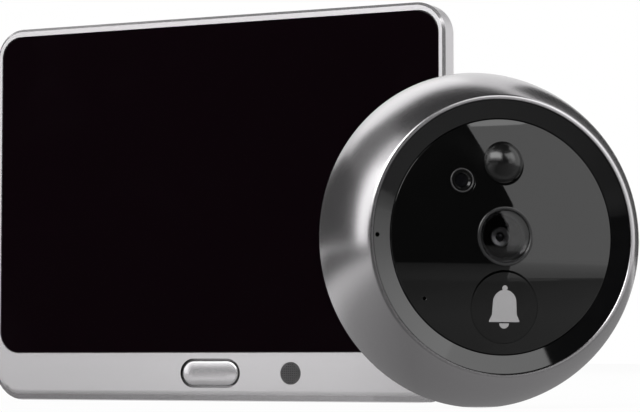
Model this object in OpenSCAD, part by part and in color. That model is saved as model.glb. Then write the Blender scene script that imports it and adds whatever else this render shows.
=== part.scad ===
// Peephole door camera: an indoor monitor with its door bracket, and the round
// outdoor camera with a bell button. Millimetres, Z up. The monitor's screen
// faces -Y and the origin is the middle of the monitor's base.

/* [Monitor] */
// Width of the monitor
monitor_w = 116; // [108:1:140]
// Height of the monitor
monitor_h = 88; // [82:1:110]
// Depth of the monitor without its bracket
monitor_d = 19.5; // [18.5:0.5:26]
// Corner radius of the front frame
corner_r = 7; // [3:0.5:10]
// Depth of the front frame
frame_d = 5; // [4.8:0.1:7]
// Bevel round the frame's front edge
edge_bevel = 0.65; // [0.2:0.05:1.2]
// Bevel along the front of the base
base_bevel = 2.2; // [1:0.1:2.4]
// Frame left beside the glass
rim_side = 1.45; // [1:0.05:4]
// Frame left above the glass
rim_top = 1.8; // [1.2:0.1:4]
// Height of the bar below the glass
bar_h = 11; // [10.5:0.5:16]
// Front wall of the bar
bar_wall = 1.6; // [1.2:0.1:2]

/* [Screen] */
// Thickness of the cover glass
glass_t = 1.1; // [0.7:0.1:1.6]
// Corner radius of the glass
glass_r = 5; // [2:0.5:8]
// Thickness of the adhesive frame under the glass
tape_t = 0.2; // [0.1:0.05:0.4]
// Black border beside the display panel
border_x = 3.8; // [3.6:0.1:10]
// Black border above and below the display panel
border_y = 4; // [3.8:0.1:10]
// Thickness of the display panel
panel_t = 2.9; // [2:0.1:3.2]
// Thickness of the steel chassis behind the panel
chassis_t = 0.6; // [0.4:0.1:0.8]

/* [Home button] */
// Length of the button cap
home_w = 14.4; // [10:0.2:18]
// Height of the button cap
home_h = 5.7; // [4:0.1:6.2]
// Height of the button's middle above the base
home_z = 6.4; // [6:0.1:6.8]
// How far the cap stands proud of the bar
home_proud = 0.25; // [0:0.05:0.6]
// Press travel
home_travel = 0.4; // [0.2:0.05:0.5]

/* [Microphone] */
// Middle of the microphone from the middle of the bar
mic_x = 20.4; // [20:0.1:30]
// Radius of the microphone mesh
mic_r = 2.5; // [1.5:0.1:2.8]

/* [Back cover] */
// How far the back steps in from the frame
hump_in = 6.7; // [5:0.1:8]
// Depth of the sloped shoulder
hump_d = 3.4; // [3:0.1:4.4]
// Corner radius at the foot of the shoulder
hump_r = 12; // [10:0.5:16]
// Side wall of the cover
cover_wall = 1.8; // [1.4:0.1:2.4]
// Rear wall of the cover
rear_wall = 2; // [1.6:0.1:2.6]
// Bevel round the rear edge
back_bevel = 1.2; // [0.4:0.1:2]
// Cover screws in from the side wall
screw_in = 5.2; // [4.6:0.1:6]
// Lower cover screws above the base
screw_low = 17; // [15:0.5:18]
// Upper cover screws below the top
screw_top = 13; // [12.5:0.5:15]

/* [Bracket] */
// Width of the door bracket
bracket_w = 76; // [70:1:77]
// Height of the door bracket
bracket_h = 46; // [44:1:48]
// Sheet thickness of the bracket
bracket_t = 1.6; // [1.2:0.1:2]
// Bottom edge of the bracket above the base
bracket_low = 28; // [27:0.5:29]
// Lift that frees the monitor from the bracket
lift = 7; // [6.5:0.5:8]
// Hanging studs out from the middle
stud_x = 30; // [28:0.5:32]
// Neck radius of the hanging studs
stud_r = 1.5; // [1.2:0.1:1.8]
// Head radius of the hanging studs
stud_head_r = 3; // [2.6:0.1:3.2]
// Door screws, pitch circle diameter
door_pcd = 9.6; // [9.2:0.1:9.8]
// Clearance holes for the door screws in the bracket
door_hole_r = 2.2; // [2.1:0.1:2.4]
// Radius of the cable hole in the bracket
cable_hole_r = 5.5; // [4:0.5:6]

/* [Inside the monitor] */
// Thickness of the circuit boards
board_t = 1.2; // [0.8:0.1:1.4]
// Gap between the chassis and the main board
board_rise = 4.75; // [4.5:0.05:5]
// Thickness of the battery pack
battery_t = 8.5; // [6:0.1:8.6]
// Thickness of the battery's foam pad
pad_t = 0.5; // [0.3:0.1:0.6]
// Depth of the speaker box
speaker_t = 4.5; // [3:0.1:5]
// Length of the speaker box
speaker_w = 28; // [20:1:30]
// Width of the charging socket
usb_w = 7.5; // [7:0.1:9]
// Height of the charging socket
usb_h = 2.6; // [2.4:0.1:3.2]
// Width of the card socket
card_w = 14; // [12:0.5:15]
// Height of the card socket
card_h = 1.5; // [1.2:0.1:1.8]
// Length of the camera cable socket
socket_w = 8.4; // [7.4:0.2:9]
// Height of the camera cable socket
socket_h = 6; // [5.6:0.2:6.6]

/* [Outdoor unit] */
// Largest radius of the housing
body_r = 33; // [32.5:0.1:36]
// Radius of the front rim
rim_r = 27.2; // [27:0.1:27.6]
// Depth from the rim to the largest radius
body_d = 13.3; // [13:0.1:14.5]
// Radius of the housing's curved side
arc_r = 27; // [25:0.5:40]
// Width of the front rim
lip_w = 0.75; // [0.5:0.05:1]
// Width of the light ring
ring_w = 3.6; // [3.4:0.1:4]
// Height of the window's dome
dome_h = 1.5; // [0.6:0.1:2.5]
// Front of the window's edge behind the rim
window_sink = 1.05; // [0.6:0.05:1.2]
// Turn of the outdoor unit on the table
unit_turn = 43; // [0:1:80]
// Outdoor unit to the right of the monitor's middle
unit_x = 92.3; // [92:0.1:130]
// Outdoor unit in front of the monitor's screen
unit_front = 52.7; // [50:0.1:120]

/* [Bell button] */
// Radius of the bell button
bell_r = 6.6; // [5:0.1:7]
// Middle of the bell button below the lens
bell_y = 13.7; // [13:0.1:14.2]
// Press travel of the bell button
bell_travel = 0.6; // [0.3:0.1:0.7]

/* [Lens and sensors] */
// Radius of the lens bezel
lens_r = 5.72; // [5:0.02:6]
// How far the lens bezel stands out of the window
lens_proud = 0.35; // [0.1:0.05:1]
// Radius of the front lens
front_lens_r = 4.9; // [4.4:0.1:5.1]
// Radius of the motion lens
motion_r = 4.05; // [3.5:0.05:4.4]
// Height of the motion lens dome
motion_h = 2.6; // [1.5:0.1:3.2]
// Middle of the motion lens above the lens
motion_y = 14.2; // [13.8:0.1:14.6]
// Radius of the light sensor ring
sensor_r = 2.5; // [2:0.1:2.7]
// Light sensor to the left of the lens
sensor_x = 8.55; // [8.2:0.05:9]
// Light sensor above the lens
sensor_y = 10.6; // [10:0.1:11]

/* [Door fixing] */
// Radius of the spigot that enters the door hole
spigot_r = 7.75; // [7.6:0.05:9]
// Length of the spigot
spigot_l = 8; // [5:0.5:14]
// Core radius of the threaded holes
thread_r = 1.65; // [1.5:0.05:1.8]
// Thickness of the back plate
plate_t = 1.6; // [1.4:0.1:2]
// Thickness of the seal under the back plate
seal_t = 0.4; // [0.3:0.1:0.6]
// Thickness of the door gasket
gasket_t = 1.2; // [0.6:0.1:2]

/* [Clearances] */
// Gap between fixed parts that drop into each other
fit = 0.12; // [0.05:0.01:0.2]
// Gap round parts that move
slide = 0.3; // [0.2:0.05:0.4]
// Gap of a screw in its thread
thread = 0.05; // [0.02:0.01:0.1]

/* [Hidden] */
$fn = 96;
// Monitor
w2 = monitor_w / 2;
front_y = -monitor_d / 2;
parting = 0.3;
frame_wall = 1.8;
panel_gap = 0.55;
pocket_x = w2 - rim_side;
pocket_top = monitor_h - rim_top;
glass_sink = 0.05;
glass_back = glass_sink + glass_t;
pocket_d = glass_back + tape_t;
seat_d = glass_back + panel_t;
panel_y = (bar_h + pocket_top) / 2;
panel_w = 2 * (pocket_x - border_x);
panel_h = pocket_top - bar_h - 2 * border_y;
open_x = panel_w / 2 + panel_gap;
open_y = panel_h / 2 + panel_gap;
rear_x = w2 - frame_wall;
rear_low = bar_h - 0.5;
rear_top = monitor_h - frame_wall;
ledge_screw_x = open_x + 1.4;
ledge_screw_up = 18;
ledge_screw_y = [panel_y - ledge_screw_up, panel_y + ledge_screw_up];
ledge_screw_r = 0.65;
ledge_screw_l = 1.4;
chassis_d = seat_d + chassis_t;
// Cover
cover_x = w2 - parting;
cover_top = monitor_h - parting;
hump_x = cover_x - hump_in;
hump_top = cover_top - hump_in;
inner_x = hump_x - cover_wall;
inner_top = hump_top - cover_wall;
slope_d = frame_d + hump_d;
slope_skin = 3.8;
slope_in = cover_x - slope_skin - inner_x;
inner_slope_d = slope_d - 1;
base_wall = 2;
rear_d = monitor_d - rear_wall;
screw_x = inner_x - screw_in;
screw_up = monitor_h - screw_top;
post_top = chassis_d + 3.35;
screw_seat = monitor_d - 3.3;
// Bracket and its recess
bracket_top = bracket_low + bracket_h;
recess_d = monitor_d - 1.7;
floor_d = recess_d - 1.8;
well_d = recess_d - 2.6;
well_in = well_d - 1.2;
well_x = 22;
plate_d0 = recess_d + slide;
plate_d1 = plate_d0 + bracket_t;
stud_top = bracket_top - 8;
stud_low = bracket_low + 10;
door_y = bracket_low + 22;
socket_x = -16.5;
socket_y = door_y + 9;
// Boards
board_d = chassis_d + board_rise;
board_back = board_d + board_t;
board_x0 = -inner_x + 0.8;
board_x1 = -4;
board_y0 = screw_low + 6;
board_y1 = screw_up - 5;
post_x0 = board_x0 + 3.4;
post_x1 = board_x1 - 3;
post_y0 = board_y0 + 3;
post_y1 = board_y1 - 3;
usb_y = board_y0 + 17 / 47 * (board_y1 - board_y0);
card_y = board_y0 + 32 / 47 * (board_y1 - board_y0);
usb_l = 5.6;
card_l = 14;
shield_x0 = board_x0 + 16.4;
shield_x1 = board_x1 - 10;
shield_y0 = board_y0 + 3;
shield_y1 = shield_y0 + 20;
shield_t = 2.2;
battery_x0 = board_x1 + 2;
battery_x1 = screw_x - 4;
battery_y0 = bar_h + 2;
battery_y1 = inner_top - 1.2;
battery_d = chassis_d + pad_t;
speaker_x0 = -screw_x + 8;
speaker_x1 = speaker_x0 + speaker_w;
speaker_pad = 0.5;
slot_step = (speaker_w - 8) / 4;
antenna_h = 5.6;
antenna_t = 0.5;
speaker_y0 = base_wall + 1.5;
speaker_y1 = screw_low - 1.5;
// Behind the bar
cap_back = bar_wall + 0.8;
switch_d = cap_back + home_travel + 0.2;
key_board_d = switch_d + 1.6;
key_x0 = -13;
key_x1 = mic_x + 4.6;
key_post = [-11, 13.5];
// Outdoor unit: the curved side runs through the rim and the largest radius
unit_y = front_y - unit_front;
chord = norm([body_r - rim_r, body_d]);
rise = sqrt(arc_r * arc_r - chord * chord / 4);
arc_x = (body_r + rim_r) / 2 - rise * body_d / chord;
arc_z = -body_d / 2 - rise * (body_r - rim_r) / chord;
rear_bevel = 1.3;
back_z = -body_d - rear_bevel;
lip_r = rim_r - lip_w;
ring_r0 = lip_r - 0.1 - ring_w;
ring_r1 = lip_r - 0.1;
window_r = ring_r0 - 0.15;
dome_r = (window_r * window_r + dome_h * dome_h) / (2 * dome_h);
dome_z = dome_h - window_sink;
window_back = -window_sink - 1.15;
ring_seat = window_back - 1;
shelf_z = ring_seat - 0.8;
core_back = shelf_z - 1.6;
core_r = lip_r + 0.95;
led_z = core_back - 0.8;
led_r = (window_r + lip_r) / 2;
led_turns = [22.5:45:359];
mic_hole_x = -lip_r + 0.95;
cam_z = core_back - 2.4;
cam_back = cam_z - board_t;
cam_r = window_r - 0.8;
cam_post_r = cam_r - 2.5;
cam_turns = [30, 150, 270];
module_w = 14;
holder_w = 12;
barrel_r = 4;
lens_seat = dome_z - 1.2;
lens_curve = 40;
holder_back = core_back - 5;
plate_z = back_z + plate_t;
ledge_z = plate_z + seal_t;
plate_r = body_r - 2.4;
cave_z = cam_z - 0.4;
boss_r = 2.6;
boss_at = cam_r + boss_r + 0.5;
boss_top = led_z - 0.6;
boss_foot = ledge_z + 0.2;
boss_bore = 1.1;
boss_turns = [90, 225, 315];
guide_r = 1.25;
pin_x = 16;
pin_y = 12;
stem_r = 2;
plunger_r = 1.1;
speaker_y = -15.6;
gland_r = 2.5;
gland_y = -2;
bell_flange = window_back - 0.9;
bell_foot = core_back + 0.2;
bell_ear = 0.9;
symbol_z = -2;

// The monitor is drawn looking at its screen: x right, y up, z out of the screen
module on_monitor() {
    translate([0, front_y, 0]) rotate([90, 0, 0]) children();
}

// The outdoor unit is drawn looking at its lens: x right, y up, z out of the rim
module on_unit() {
    translate([unit_x, unit_y, body_r]) rotate([0, 0, unit_turn]) rotate([90, 0, 0]) children();
}

// A flat shape from depth d0 to depth d1 behind the front
module layer(d0, d1) {
    translate([0, 0, -d1]) linear_extrude(height = d1 - d0) children();
}

// A flat shape from height z0 to height z1
module slab(z0, z1) {
    translate([0, 0, z0]) linear_extrude(height = z1 - z0) children();
}

module rect(x0, x1, y0, y1) {
    translate([x0, y0]) square([x1 - x0, y1 - y0]);
}

module round_rect(x0, x1, y0, y1, r) {
    rect(x0 + r, x1 - r, y0, y1);
    rect(x0, x1, y0 + r, y1 - r);
    for (x = [x0 + r, x1 - r], y = [y0 + r, y1 - r]) translate([x, y]) circle(r = r);
}

module peg(x, y, r, d0, d1) {
    translate([x, y, -d1]) cylinder(r = r, h = d1 - d0);
}

module rod(x, y, r, z0, z1) {
    translate([x, y, z0]) cylinder(r = r, h = z1 - z0);
}

module tube(x, y, r, bore, z0, z1) {
    difference() {
        rod(x, y, r, z0, z1);
        rod(x, y, bore, z0 - 1, z1 + 1);
    }
}

// A rounded block whose sides slope: in0 is its inset at depth d0, in1 at depth d1
module sloped(x0, x1, y0, y1, r, d0, d1, in0, in1) {
    for (x = [x0 + r, x1 - r], y = [y0 + r, y1 - r])
        translate([x, y, -d1]) cylinder(r1 = r - in1, r2 = r - in0, h = d1 - d0);
    translate([x0 + r, 0, 0]) rotate([90, 0, 90]) linear_extrude(height = x1 - x0 - 2 * r)
        polygon([[y0 + in0, -d0], [y1 - in0, -d0], [y1 - in1, -d1], [y0 + in1, -d1]]);
    translate([0, y1 - r, 0]) rotate([90, 0, 0]) linear_extrude(height = y1 - y0 - 2 * r)
        polygon([[x0 + in0, -d0], [x1 - in0, -d0], [x1 - in1, -d1], [x0 + in1, -d1]]);
}

// A pan-head screw driven from the back: head on depth d, shank of length l in front
module screw(x, y, d, r, l, head_r, head_h) {
    difference() {
        union() {
            peg(x, y, r, d - l, d);
            peg(x, y, head_r, d, d + head_h);
        }
        for (a = [0, 90])
            translate([x, y, -d - head_h]) rotate([0, 0, a])
                cube([head_r * 1.2, head_r * 0.3, head_h], center = true);
    }
}

module stadium(w, h) {
    rect(-w / 2 + h / 2, w / 2 - h / 2, -h / 2, h / 2);
    for (s = [-1, 1]) translate([s * (w - h) / 2, 0]) circle(r = h / 2);
}

// Front frame
module front_frame() {
    color([0.78, 0.79, 0.80]) on_monitor() difference() {
        union() {
            difference() {
                union() {
                    layer(edge_bevel, frame_d) round_rect(-w2, w2, 0, monitor_h, corner_r);
                    sloped(-w2, w2, 0, monitor_h, corner_r, 0, edge_bevel, edge_bevel, 0);
                }
                layer(-1, pocket_d)
                    round_rect(-pocket_x, pocket_x, bar_h, pocket_top, glass_r + fit);
                layer(0, frame_d + 1)
                    rect(-open_x, open_x, panel_y - open_y, panel_y + open_y);
                layer(seat_d, frame_d + 1)
                    round_rect(-rear_x, rear_x, rear_low - fit, rear_top, glass_r);
                layer(bar_wall, frame_d + 1) rect(key_x0 - 4, key_x1 + 4, base_wall + 0.2, rear_low);
            }
            for (x = key_post) peg(x, home_z, 1.7, bar_wall - 0.2, key_board_d);
        }
        translate([-monitor_w, 0, 0]) rotate([90, 0, 90]) linear_extrude(height = 2 * monitor_w)
            polygon([[-1, 1], [base_bevel + 1, 1], [-1, -base_bevel - 1]]);
        layer(-1, bar_wall + 1) translate([0, home_z])
            stadium(home_w + 2 * slide, home_h + 2 * slide);
        peg(mic_x, home_z, mic_r + thread, -1, 0.7);
        peg(mic_x, home_z, 1.4, 0, bar_wall + 1);
        for (x = key_post) peg(x, home_z, 0.75, bar_wall + 0.6, key_board_d + 1);
        for (x = [-ledge_screw_x, ledge_screw_x], y = ledge_screw_y)
            peg(x, y, ledge_screw_r, seat_d - ledge_screw_l - 0.2, frame_d);
    }
}

module cover_glass() {
    color([0.02, 0.02, 0.025]) on_monitor() layer(glass_sink, glass_back)
        round_rect(-pocket_x + fit, pocket_x - fit, bar_h + fit, pocket_top - fit, glass_r);
}

module glass_tape() {
    color([0.1, 0.1, 0.1]) on_monitor() layer(glass_back, pocket_d) difference() {
        round_rect(-pocket_x + 0.3, pocket_x - 0.3, bar_h + 0.3, pocket_top - 0.3, glass_r);
        rect(-open_x - 0.3, open_x + 0.3, panel_y - open_y - 0.3, panel_y + open_y + 0.3);
    }
}

module lcd_panel() {
    color([0.16, 0.17, 0.19]) on_monitor() layer(glass_back, seat_d)
        rect(-panel_w / 2, panel_w / 2, panel_y - panel_h / 2, panel_y + panel_h / 2);
}

// Steel chassis: carries the panel, the main board and the cover screws
module chassis_plate() {
    color([0.62, 0.63, 0.65]) on_monitor() difference() {
        union() {
            layer(seat_d, chassis_d)
                round_rect(-rear_x + 0.2, rear_x - 0.2, rear_low + 0.2, rear_top - 0.2, glass_r);
            for (x = [-screw_x, screw_x], y = [screw_low, screw_up])
                peg(x, y, 2.4, chassis_d - 0.1, post_top);
            for (x = [post_x0, post_x1], y = [post_y0, post_y1])
                peg(x, y, 2, chassis_d - 0.1, board_d);
        }
        for (x = [-screw_x, screw_x], y = [screw_low, screw_up])
            peg(x, y, 1, chassis_d, post_top + 1);
        for (x = [post_x0, post_x1], y = [post_y0, post_y1])
            peg(x, y, 0.9, chassis_d, board_d + 1);
        for (x = [-ledge_screw_x, ledge_screw_x], y = ledge_screw_y)
            peg(x, y, ledge_screw_r + 0.15, seat_d - 1, frame_d + 1);
    }
}

module chassis_screws() {
    color([0.55, 0.55, 0.57]) on_monitor()
        for (x = [-ledge_screw_x, ledge_screw_x], y = ledge_screw_y) {
            peg(x, y, ledge_screw_r - thread, seat_d - ledge_screw_l, chassis_d);
            peg(x, y, ledge_screw_r + 0.5, chassis_d, chassis_d + 0.3);
        }
}

// Home button: cap with a retaining flange, on the switch behind the bar
module home_button() {
    color([0.80, 0.81, 0.82]) on_monitor() translate([0, home_z, 0]) {
        layer(-home_proud + 0.25, bar_wall + 0.2) stadium(home_w, home_h);
        for (x = [-1, 1])
            translate([x * (home_w - home_h) / 2, 0, home_proud - 0.25])
                cylinder(r1 = home_h / 2, r2 = home_h / 2 - 0.25, h = 0.25);
        translate([-(home_w - home_h) / 2, 0, 0]) rotate([90, 0, 90])
            linear_extrude(height = home_w - home_h)
            polygon([[-home_h / 2, home_proud - 0.25], [home_h / 2, home_proud - 0.25],
                [home_h / 2 - 0.25, home_proud], [-home_h / 2 + 0.25, home_proud]]);
        layer(bar_wall + 0.1, cap_back) stadium(home_w + 1.8, home_h + 1.4);
    }
}

module home_plunger() {
    color([0.08, 0.08, 0.09]) on_monitor() peg(0, home_z, 1, cap_back, switch_d + 0.6);
}

module home_switch() {
    color([0.70, 0.71, 0.72]) on_monitor() difference() {
        layer(switch_d, key_board_d) rect(-3, 3, home_z - 1.75, home_z + 1.75);
        peg(0, home_z, 1 + slide, switch_d - 1, switch_d + 1.2);
    }
}

module button_board() {
    color([0.05, 0.25, 0.15]) on_monitor() difference() {
        layer(key_board_d, key_board_d + 1)
            rect(key_x0, key_x1, base_wall + 0.8, rear_low - 0.5);
        for (x = key_post) peg(x, home_z, 0.9, key_board_d - 1, key_board_d + 2);
    }
}

module mic_mesh() {
    color([0.2, 0.2, 0.21]) on_monitor() peg(mic_x, home_z, mic_r, 0.05, 0.7);
}

module mic_boot() {
    color([0.07, 0.07, 0.07]) on_monitor() difference() {
        peg(mic_x, home_z, 2.8, bar_wall, cap_back);
        peg(mic_x, home_z, 1.2, bar_wall - 1, cap_back + 1);
    }
}

module mic_capsule() {
    color([0.72, 0.72, 0.74]) on_monitor() difference() {
        peg(mic_x, home_z, 2.2, cap_back, key_board_d);
        peg(mic_x, home_z, 0.6, cap_back - 1, cap_back + 0.6);
    }
}

// Main board and what sits on it
module main_board() {
    color([0.05, 0.28, 0.16]) on_monitor() difference() {
        layer(board_d, board_back) round_rect(board_x0, board_x1, board_y0, board_y1, 1.5);
        for (x = [post_x0, post_x1], y = [post_y0, post_y1])
            peg(x, y, 1.05, board_d - 1, board_back + 1);
    }
}

module board_screws() {
    color([0.58, 0.58, 0.60]) on_monitor() {
        for (x = [post_x0, post_x1], y = [post_y0, post_y1])
            screw(x, y, board_back, 0.9 - thread, board_t + 3, 1.8, 1.1);
        for (x = key_post) screw(x, home_z, key_board_d + 1, 0.75 - thread, 3, 1.5, 0.8);
    }
}

module processor_shield() {
    color([0.74, 0.75, 0.76]) on_monitor() difference() {
        layer(board_back, board_back + shield_t)
            round_rect(shield_x0, shield_x1, shield_y0, shield_y1, 0.6);
        for (i = [0:4])
            peg(shield_x0 + (shield_x1 - shield_x0) * (i + 1) / 6, (shield_y0 + shield_y1) / 2, 0.6,
                board_back + shield_t - 0.8, board_back + shield_t + 1);
    }
}

module usb_socket() {
    color([0.70, 0.71, 0.73]) on_monitor() difference() {
        layer(board_back, board_back + usb_h)
            rect(-hump_x + 0.4, -hump_x + 0.4 + usb_l, usb_y - usb_w / 2, usb_y + usb_w / 2);
        layer(board_back + 0.4, board_back + usb_h - 0.4)
            rect(-hump_x - 1, -hump_x + usb_l - 0.2, usb_y - usb_w / 2 + 0.4, usb_y + usb_w / 2 - 0.4);
    }
    color([0.08, 0.08, 0.08]) on_monitor()
        layer(board_back + usb_h / 2 - 0.25, board_back + usb_h / 2 + 0.25)
        rect(-hump_x + 1, -hump_x + usb_l, usb_y - usb_w * 0.3, usb_y + usb_w * 0.3);
}

module card_socket() {
    color([0.66, 0.67, 0.69]) on_monitor() difference() {
        layer(board_back, board_back + card_h)
            rect(-inner_x + 0.1, -inner_x + card_l, card_y - card_w / 2, card_y + card_w / 2);
        layer(board_back + 0.3, board_back + card_h - 0.3)
            rect(-inner_x - 1, -inner_x + card_l - 1, card_y - card_w / 2 + 1.3, card_y + card_w / 2 - 1.3);
    }
}

module camera_socket() {
    color([0.88, 0.87, 0.82]) on_monitor() difference() {
        layer(board_back, well_d - 0.2)
            rect(socket_x - socket_w / 2, socket_x + socket_w / 2,
                socket_y - socket_h / 2, socket_y + socket_h / 2);
        layer(board_back + 1.5, well_d)
            rect(socket_x - socket_w / 2 + 0.7, socket_x + socket_w / 2 - 0.7,
                socket_y - socket_h / 2 + 0.8, socket_y + socket_h / 2 - 0.8);
    }
}

module battery_pad() {
    color([0.12, 0.12, 0.13]) on_monitor() layer(chassis_d, battery_d)
        rect(battery_x0 + 4, battery_x1 - 4, battery_y0 + 7, battery_y1 - 7);
}

module battery_pack() {
    color([0.25, 0.35, 0.55]) on_monitor() layer(battery_d, battery_d + battery_t)
        round_rect(battery_x0, battery_x1, battery_y0, battery_y1, 2.5);
}

module speaker() {
    color([0.10, 0.10, 0.11]) on_monitor() {
        layer(rear_d - speaker_pad - speaker_t, rear_d - speaker_pad)
            round_rect(speaker_x0, speaker_x1, speaker_y0, speaker_y1, 2);
    }
}

module speaker_gasket() {
    color([0.16, 0.16, 0.17]) on_monitor() layer(rear_d - speaker_pad, rear_d) difference() {
        round_rect(speaker_x0, speaker_x1, speaker_y0, speaker_y1, 2);
        round_rect(speaker_x0 + 1.8, speaker_x1 - 1.8, speaker_y0 + 1.4, speaker_y1 - 1.4, 1);
    }
}

module wifi_antenna() {
    color([0.75, 0.55, 0.25]) on_monitor() layer(slope_d + 0.8, slope_d + 0.8 + antenna_h)
        rect(speaker_x0, speaker_x1 + 2, inner_top - antenna_t, inner_top);
}

// Keyhole that a stud hangs in: the wide end is one lift below
module keyhole(x, y) {
    translate([x, y]) circle(r = stud_r + slide);
    rect(x - stud_r - slide, x + stud_r + slide, y - lift, y);
    translate([x, y - lift]) circle(r = stud_head_r + slide + 0.1);
}

// Back cover: shouldered shell with a recess for the bracket
module cover_shell() {
    difference() {
        intersection() {
            union() {
                sloped(-cover_x, cover_x, -hump_in, cover_top, hump_r, frame_d, slope_d, 0, hump_in);
                layer(slope_d, monitor_d - back_bevel)
                    round_rect(-hump_x, hump_x, 0, hump_top, hump_r - hump_in);
                sloped(-hump_x, hump_x, 0, hump_top, hump_r - hump_in,
                    monitor_d - back_bevel, monitor_d, 0, back_bevel);
            }
            layer(frame_d, monitor_d) round_rect(-cover_x, cover_x, 0, monitor_h + 30, corner_r);
        }
        intersection() {
            union() {
                sloped(-inner_x - slope_in, inner_x + slope_in, base_wall - slope_in,
                    inner_top + slope_in, hump_r - slope_skin, frame_d - 0.01, inner_slope_d, 0, slope_in);
                layer(inner_slope_d, rear_d)
                    round_rect(-inner_x, inner_x, base_wall, inner_top, hump_r - slope_skin - slope_in);
            }
            layer(frame_d - 1, monitor_d) rect(-w2, w2, base_wall, monitor_h);
        }
    }
}

module back_cover() {
    color([0.72, 0.73, 0.74]) on_monitor() difference() {
        union() {
            cover_shell();
            layer(floor_d, rear_d + 0.1) rect(-bracket_w / 2 - 2.4, bracket_w / 2 + 2.4,
                bracket_low - lift - 2.8, bracket_top + 2.4);
            layer(well_in, floor_d + 0.1)
                rect(-well_x - 1.6, well_x + 1.6, door_y - 9.6, socket_y + 8.6);
            for (x = [-screw_x, screw_x], y = [screw_low, screw_up])
                peg(x, y, 3.2, post_top, rear_d + 0.1);
        }
        layer(recess_d, monitor_d + 1) round_rect(-bracket_w / 2 - 0.6, bracket_w / 2 + 0.6,
            bracket_low - lift - 1, bracket_top + 0.6, 3);
        layer(well_d, monitor_d) round_rect(-well_x, well_x, door_y - 8, socket_y + 7, 2);
        layer(well_in - 1, monitor_d)
            rect(socket_x - socket_w / 2 - 0.4, socket_x + socket_w / 2 + 0.4,
                socket_y - socket_h / 2 - 0.4, socket_y + socket_h / 2 + 0.4);
        for (x = [-stud_x, stud_x], y = [stud_low, stud_top])
            layer(floor_d - 1, monitor_d) keyhole(x, y);
        for (x = [-screw_x, screw_x], y = [screw_low, screw_up]) {
            peg(x, y, 1.2, post_top - 1, monitor_d + 1);
            peg(x, y, 2.3, screw_seat, monitor_d + 1);
        }
        for (i = [0:4]) layer(rear_d - 1, monitor_d + 1)
            round_rect(speaker_x0 + 3 + slot_step * i, speaker_x0 + 5 + slot_step * i,
                speaker_y0 + 2, speaker_y1 - 2, 0.9);
        layer(board_back - slide, board_back + usb_h + slide)
            rect(-hump_x - 1, -inner_x + 1, usb_y - usb_w / 2 - slide, usb_y + usb_w / 2 + slide);
        layer(board_back + 0.2, board_back + card_h - 0.2)
            rect(-hump_x - 1, -inner_x + 1, card_y - card_w / 2 + 1.3, card_y + card_w / 2 - 1.3);
    }
}

module cover_screws() {
    color([0.5, 0.5, 0.52]) on_monitor()
        for (x = [-screw_x, screw_x], y = [screw_low, screw_up])
            screw(x, y, screw_seat, 1 - thread, screw_seat - chassis_d - 0.5, 2.1, 1.4);
}

// Door bracket: sheet plate with two door-screw holes and a cable hole
module bracket_plate() {
    color([0.60, 0.61, 0.63]) on_monitor() layer(plate_d0, plate_d1) difference() {
        round_rect(-bracket_w / 2, bracket_w / 2, bracket_low, bracket_top, 2.5);
        for (x = [-1, 1]) translate([x * door_pcd / 2, door_y]) circle(r = door_hole_r);
        translate([socket_x, socket_y]) circle(r = cable_hole_r);
        for (x = [-stud_x, stud_x], y = [stud_low, stud_top]) translate([x, y]) circle(r = 1);
    }
}

module bracket_studs() {
    color([0.76, 0.77, 0.78]) on_monitor()
        for (x = [-stud_x, stud_x], y = [stud_low, stud_top]) {
            peg(x, y, 1 - thread, plate_d0, plate_d1);
            peg(x, y, stud_r, floor_d - slide, plate_d0);
            peg(x, y, stud_head_r, floor_d - slide - 1.1, floor_d - slide);
        }
}

// Outdoor unit
// Half section of the curved housing
module housing_section() {
    difference() {
        intersection() {
            translate([arc_x, arc_z]) circle(r = arc_r, $fn = 180);
            polygon([[0, 0], [body_r + 4, 0], [body_r + 0.6 * rear_bevel, rear_bevel - body_d],
                [body_r - 0.6 * rear_bevel, back_z], [0, back_z]]);
        }
        rect(-1, lip_r, back_z - 1, 1);
        rect(-1, lip_r + 1.15, led_z - 1.2, shelf_z);
        rect(-1, body_r - 4.4, cave_z - 0.1, core_back - 0.5);
        rect(-1, body_r - 3.4, ledge_z - 0.01, cave_z);
        rect(-1, plate_r + 0.2, back_z - 1, ledge_z);
    }
}

module housing() {
    color([0.66, 0.66, 0.66]) on_unit() difference() {
        union() {
            rotate_extrude($fn = 180) housing_section();
            for (a = boss_turns) rotate([0, 0, a]) {
                rod(boss_at, 0, boss_r, boss_foot, boss_top);
                slab(boss_foot, boss_top) rect(boss_at, body_r - 3, -1.2, 1.2);
            }
        }
        for (a = boss_turns) rotate([0, 0, a]) rod(boss_at, 0, boss_bore, ledge_z - 1, boss_top - 0.8);
        for (a = [250, 260, 280, 290]) rotate([0, 0, a])
            translate([plate_r - 1, -1, back_z - 1]) cube([5, 2, 1.7]);
    }
}

module light_ring() {
    color([0.09, 0.09, 0.10]) on_unit() difference() {
        rotate_extrude($fn = 180) polygon([[ring_r0, -window_sink - 0.1],
            [ring_r0, ring_seat], [ring_r1, ring_seat], [ring_r1, -0.25]]);
        rod(mic_hole_x, 0, 0.45, ring_seat - 1, 1);
    }
}

// Solid under the window's dome, cut at height z
module dome_solid(r, z) {
    intersection() {
        translate([0, 0, dome_z - dome_r]) sphere(r = dome_r, $fn = 720);
        rod(0, 0, r, z, dome_z + 1);
    }
}

module front_window() {
    color([0.02, 0.02, 0.02]) on_unit() difference() {
        dome_solid(window_r, window_back);
        rod(0, 0, lens_r + thread, -5, 5);
        rod(0, -bell_y, bell_r + 0.25, -5, 5);
        rod(0, motion_y, motion_r + thread, -5, 5);
        rod(-sensor_x, sensor_y, sensor_r + thread, -5, 5);
        rod(-pin_x, -pin_y, 0.35, -5, 5);
    }
}

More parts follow.
